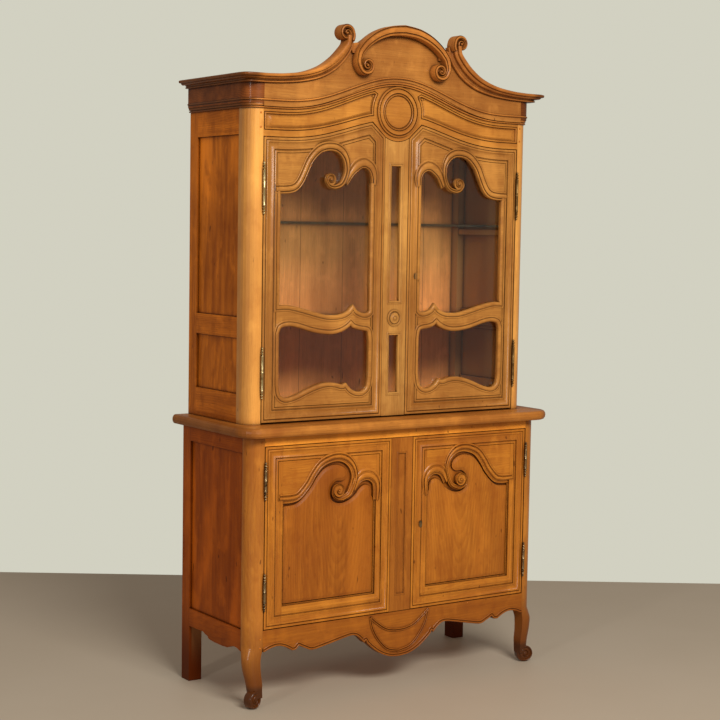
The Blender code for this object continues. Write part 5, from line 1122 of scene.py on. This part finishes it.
# Thousandths of the half width, thousandths of the rail's drop below its top
APRON_LINE = (
    (1000, 445), (985, 445), (950, 395), (895, 365), (840, 415), (780, 535), (768, 500), (746, 425),
    (700, 500), (650, 560), (560, 510), (440, 425), (365, 382), (320, 420), (265, 585), (256, 540),
    (246, 600), (200, 740), (145, 870), (75, 970), (0, 1000),
)
APRON_RUNS = ((0, 6), (6, 8), (7, 15), (14, 17), (16, 21))
LOBE_LINES = (
    ((222, 45), (180, 170), (110, 335), (50, 395), (0, 408)),
    ((222, 45), (205, 300), (160, 560), (90, 790), (0, 870)),
)
APRON_EDGE = moulded(
    (0, -20), (0, 1.4), (0.8, 3), (5.8, 3.4, 1.8), (6.4, 0.15), (8.6, 0.15), (9.2, 2.2), (14, 0.1, 0.8),
    (14, -2), (3, -20),
)
LOBE_BEAD = moulded(
    (-5.4, -1), (-5, 1.8), (-0.8, 2, 1.8), (-0.2, 0.2), (0.8, 0.2), (1.4, 2), (5.6, 1.6, 2), (6, -1),
)


def apron():
    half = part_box("apron_rail")[1][0]

    def places(shares):
        return [Vector((half * across / 1000, APRON_TOP - APRON_DROP * drop / 1000))
                for across, drop in shares]

    right = []
    points = places(APRON_LINE)
    for start, end in APRON_RUNS:
        right += smooth_line(points[start:end], 4)[: None if end == len(points) else -1]
    right = [point for k, point in enumerate(right) if k == 0 or (point - right[k - 1]).length > MM / 2]
    edge = whole(right)
    outline = [(-half, APRON_TOP), (half, APRON_TOP), *edge]
    meshes = [plate(outline, BASE_FACE, 0, DOOR_THICKNESS), band(edge, flip(APRON_EDGE), BASE_FACE)]
    for line in LOBE_LINES:
        meshes.append(band(whole(smooth_line(places(line), 5)), LOBE_BEAD, BASE_FACE))
    add_piece("apron", meshes, "carcase", ["apron_rail"], "apron_wood")


# Base posts with their legs

POST_WIDTH = 0.0535
POST_DEPTH = 0.055
POST_FOOT = 0.212
LEG_SECTIONS = (
    # height, how far the outer face stands out past the side of the case, width, depth
    (0.205, 0.0000, POST_WIDTH, POST_DEPTH), (0.190, 0.0030, 0.054, 0.053), (0.168, 0.0070, 0.054, 0.047),
    (0.145, 0.0065, 0.053, 0.045), (0.115, 0.0010, 0.050, 0.042), (0.085, -0.0065, 0.047, 0.040),
    (0.062, -0.0100, 0.044, 0.038), (0.035, -0.0150, 0.040, 0.035),
)
ROUND_BELOW = (0.165, 0.205)
FRONT_ROUNDING = 0.62
REAR_ROUNDING = 0.32
LARGEST_ROUNDING = 0.94
LEG_TURN = radians(17)
SCROLL_RADIUS = 0.030
SCROLL_LENGTH = 0.030
SCROLL_IN = 0.025
SCROLL_RIM = ((0.86, -1.0), (0.97, -0.86), (1.0, -0.7), (1.0, 0.7), (0.97, 0.86), (0.86, 1.0))
FOOT_TURNS = ((100, 28.5), (0, 26.5), (-90, 23.5), (-180, 20), (-270, 16), (-360, 12.5), (-450, 9), (-540, 6))
FOOT_BEAD = moulded((-4, -1), (-3.6, 1), (3.6, 1, 3.6), (4, -1))
FOOT_BUTTON = ((5, -1), (5, 2), (3, 3.4))  # radius, height in front of the scroll's face, in millimetres


def rounded_section(outer, width, depth, radius, rear, side):
    """Plan of a corner post: a rectangle with quarter rounds at its outer front and outer rear corners."""
    rear = min(rear, depth - radius - MM / 2)
    points = [
        (outer - width, BASE_FACE),
        *arc((outer - radius, BASE_FACE + radius), (-QUARTER, radius), (0, radius), 12),
        *arc((outer - rear, BASE_FACE + depth - rear), (0, rear), (QUARTER, rear), 6),
        (outer - width, BASE_FACE + depth),
    ]
    return [(side * x, y) for x, y in points]


def lower_post(word, side):
    top = rounded_section(BASE_HALF, POST_WIDTH, POST_DEPTH, CORNER_RADIUS, MM, side)
    rings = [[Vector((x, y, height)) for x, y in top] for height in (BASE_HEIGHT, POST_FOOT)]
    for height, outer, width, depth in smooth_line(LEG_SECTIONS, 4):
        blend = min(max((height - ROUND_BELOW[0]) / (ROUND_BELOW[1] - ROUND_BELOW[0]), 0.0), 1.0)
        radius = min(blend * CORNER_RADIUS + (1 - blend) * width * FRONT_ROUNDING, width * LARGEST_ROUNDING)
        rear = MM + (1 - blend) * depth * REAR_ROUNDING
        section = rounded_section(BASE_HALF + outer, width, depth, radius, rear, side)
        rings.append([Vector((x, y, height)) for x, y in section])
    axis = Vector((-side * sin(LEG_TURN), -cos(LEG_TURN), 0))
    half = SCROLL_LENGTH / 2
    middle = Vector((side * (BASE_HALF - SCROLL_IN), BASE_FACE + half, SCROLL_RADIUS))
    meshes = [skin(rings), turned([(SCROLL_RADIUS * r, half * a) for r, a in SCROLL_RIM], middle, axis)]
    line = smooth_line(spiral((0, 0), in_metres(FOOT_TURNS), 3), 3)
    widths = [(1 - 0.5 * k / len(line),) * 2 for k in range(len(line))]
    tip = [(radius * MM, half + height * MM) for radius, height in FOOT_BUTTON]
    for face in (1, -1):
        coil = band(line, FOOT_BEAD, -half, widths=widths, side=side)
        turn = Matrix.Rotation(pi if face < 0 else 0, 4, "Z")
        place = Matrix.Translation(middle) @ Matrix.Rotation(-side * LEG_TURN, 4, "Z") @ turn
        bmesh.ops.transform(coil, matrix=place, verts=coil.verts)
        meshes += [coil, turned(tip, middle, axis * face)]
    add_piece(f"base_post_{word}", meshes, "carcase", [f"lower_front_post_{word}"], f"lower_post_wood_{word}")


PEG_IN = 0.0095
PEG_HEIGHTS = {"upper": (1.985, 1.938), "base": (0.898, 0.235, 0.205)}
PEG = ((3 * MM, -4 * MM), (3 * MM, 0.4 * MM), (2 * MM, 1 * MM))


def pegs():
    """Turned pegs that hold the rails in the posts."""
    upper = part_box("upper_front_post_right")[0][0] + PEG_IN
    base = BASE_HALF - POST_WIDTH + PEG_IN
    meshes = []
    for side in SIDES.values():
        for level, x, front, corner in (("upper", upper, UPPER_FACE, CORNER_START),
                                        ("base", base, BASE_FACE, BASE_HALF - CORNER_RADIUS)):
            back = CORNER_RADIUS - sqrt(CORNER_RADIUS**2 - max(0.0, x - corner) ** 2)
            for height in PEG_HEIGHTS[level]:
                meshes.append(turned(PEG, (side * x, front + back, height), steps=10))
    add_piece("pegs", meshes, "carcase", [], "peg_wood")


# Glass shelf

SHELF_LIFT = 0.008
SHELF_CUT = (0.024, 0.038)
SHELF_BEVEL = 1.2 * MM


def glass_shelf():
    """The glass shelf, cut out round the rear posts."""
    low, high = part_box("glass_shelf")
    half, rear = high[0] - SHELF_CUT[0], high[1] - SHELF_CUT[1]
    right = [(high[0], low[1]), (high[0], rear), (half, rear), (half, high[1])]
    shelf = prism(right + mirrored(right[::-1]), low[2] + SHELF_LIFT, high[2] + SHELF_LIFT)
    bmesh.ops.bevel(shelf, geom=shelf.edges[:], offset=SHELF_BEVEL, segments=2, affect="EDGES")
    add_piece("shelf_pane", [shelf], "carcase", ["glass_shelf"], "shelf_glass")


# Hinges

FINIAL = (
    # radius as a share of the barrel's, distance from the tip in millimetres
    (0.30, 0), (0.72, 1.6), (0.80, 3.4), (0.66, 5.2), (0.36, 6.6), (0.36, 8), (0.84, 9.8), (1.06, 12.2),
    (0.84, 14.6), (0.40, 16.2), (0.40, 17.6), (0.90, 19.4), (1.14, 21.6), (0.90, 23.8), (0.46, 25.2),
    (0.46, 26.4), (1.05, 27.6), (1.16, 28.8), (1.05, 30), (1, 30.6),
)
BARREL_END = ((1, 3), (1.1, 2.4), (1.1, 0.8), (0.95, 0.2))
SLIMNESS = 0.80
PIN_REACH = 0.028
BLADE_HALF = 1.1 * MM
BLADE_START = 0.7


def hinges():
    # The right-hand upper hinges take the darker brass: painted shade.
    finishes = {"lower_left": "dark_bronze", "lower_right": "dark_bronze", "upper_left": "old_brass",
                "upper_right": "shaded_brass"}
    for door, finish in finishes.items():
        for place in ("high", "low"):
            hinge_half(f"{door}_{place}_hinge_door_half", 1, f"{door}_door", finish)
            hinge_half(f"{door}_{place}_hinge_post_half", -1, "carcase", finish)


def hinge_half(node, up, body, finish):
    """A barrel with its finial and the edge of the blade beside it."""
    low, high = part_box(node)
    x = (low[0] + high[0]) / 2
    radius = (high[0] - low[0]) / 2
    slim = radius * SLIMNESS
    axis_y = low[1] + radius
    tip, joint = (high[2], low[2]) if up > 0 else (low[2], high[2] - PIN_REACH)
    length = abs(tip - joint)
    section = [(slim * share, -along * MM) for share, along in FINIAL]
    section += [(slim * share, rest * MM - length) for share, rest in BARREL_END]
    barrel = turned(section, (x, axis_y, tip), (0, 0, up), 24)
    ends = sorted((tip - up * FINIAL[-1][1] * MM, joint + up * BARREL_END[0][1] * MM))
    start = axis_y + radius * BLADE_START
    plan = [(x - BLADE_HALF, start), (x + BLADE_HALF, start), (x + BLADE_HALF, high[1]),
            (x - BLADE_HALF, high[1])]
    add_piece(f"{node}_piece", [barrel, prism(plan, *ends)], body, [node], finish)


# Camera, solved from the photograph, floor and lights

CAMERA_PLACE = Vector((-3.2956, -4.7655, 1.60))
CAMERA_YAW = 0.5993
CAMERA_PITCH = 0.0796
CAMERA_ROLL = 0.0162
CAMERA_LENS = 80.675
SENSOR = 36.0
WALL_DISTANCE = 7.37
FLOOR_HALF = 9
FLOOR_BEHIND = 6
LEVEL_FORWARD = Vector((sin(CAMERA_YAW), cos(CAMERA_YAW), 0))
LEVEL_RIGHT = Vector((cos(CAMERA_YAW), -sin(CAMERA_YAW), 0))


def add_camera():
    forward = LEVEL_FORWARD * cos(CAMERA_PITCH) - Vector((0, 0, sin(CAMERA_PITCH)))
    above = LEVEL_RIGHT.cross(forward)
    right = LEVEL_RIGHT * cos(CAMERA_ROLL) + above * sin(CAMERA_ROLL)
    up = above * cos(CAMERA_ROLL) - LEVEL_RIGHT * sin(CAMERA_ROLL)
    data = bpy.data.cameras.new("camera")
    data.lens = CAMERA_LENS
    data.sensor_width = SENSOR
    data.dof.use_dof = False
    camera = link("camera", data)
    camera.matrix_world = (
        Matrix.Translation(CAMERA_PLACE) @ Matrix((right, up, -forward)).transposed().to_4x4())
    bpy.context.scene.camera = camera


def add_floor():
    g = Graph("floor")
    cloud = g.noise(g.place, 1.5, 3.0)
    g.finish({"Base Color": g.mix(cloud, (0.44, 0.37, 0.28, 1.0), (0.49, 0.42, 0.33, 1.0)),
              "Roughness": 0.55})
    mesh = bmesh.new()
    base = Vector((CAMERA_PLACE.x, CAMERA_PLACE.y, 0))
    for far, across in ((-FLOOR_BEHIND, -FLOOR_HALF), (-FLOOR_BEHIND, FLOOR_HALF),
                        (WALL_DISTANCE, FLOOR_HALF), (WALL_DISTANCE, -FLOOR_HALF)):
        mesh.verts.new(base + LEVEL_FORWARD * far + LEVEL_RIGHT * across)
    mesh.faces.new(mesh.verts)
    bmesh.ops.recalc_face_normals(mesh, faces=mesh.faces)
    data = bpy.data.meshes.new("floor")
    mesh.to_mesh(data)
    mesh.free()
    data.materials.append(MATERIALS["floor"])
    link("floor", data)


def add_lamp(name, place, target, width, height, power, tint):
    data = bpy.data.lights.new(name, "AREA")
    data.shape = "RECTANGLE"
    data.size = width
    data.size_y = height
    data.energy = power
    data.color = tint
    lamp = link(name, data)
    lamp.location = place
    lamp.rotation_euler = (Vector(target) - Vector(place)).to_track_quat("-Z", "Y").to_euler()


def add_world():
    """Warm light from all round, and a pale wall that only the camera sees."""
    world = bpy.data.worlds.new("world")
    world.use_nodes = True
    bpy.context.scene.world = world
    tree = world.node_tree
    back = tree.nodes["Background"]
    back.inputs["Color"].default_value = (1.0, 0.88, 0.74, 1.0)
    back.inputs["Strength"].default_value = 0.30
    seen = tree.nodes.new("ShaderNodeBackground")
    seen.inputs["Color"].default_value = (0.645, 0.635, 0.535, 1.0)
    path = tree.nodes.new("ShaderNodeLightPath")
    mixed = tree.nodes.new("ShaderNodeMixShader")
    for number, socket in enumerate((path.outputs["Is Camera Ray"], back.outputs[0], seen.outputs[0])):
        tree.links.new(socket, mixed.inputs[number])
    tree.links.new(mixed.outputs[0], tree.nodes["World Output"].inputs["Surface"])


make_materials()
paint_nodes()
for word, side in SIDES.items():
    base_door(word, side)
    upper_door(word, side)
    lower_post(word, side)
for build in (pegs, glass_shelf, upper_stile, lower_stile, frieze, architrave, cornice, crest, apron, hinges):
    build()
add_camera()
add_floor()
add_world()
add_lamp("key", (-1.0, -5.0, 4.1), (0, 0, 1.2), 2.6, 1.6, 318.0, (1.0, 0.96, 0.90))
add_lamp("window", (-4.9, -2.4, 2.1), (-0.4, 0, 1.4), 0.30, 2.3, 46.0, (1.0, 0.97, 0.92))
bpy.context.scene.view_settings.view_transform = "Standard"
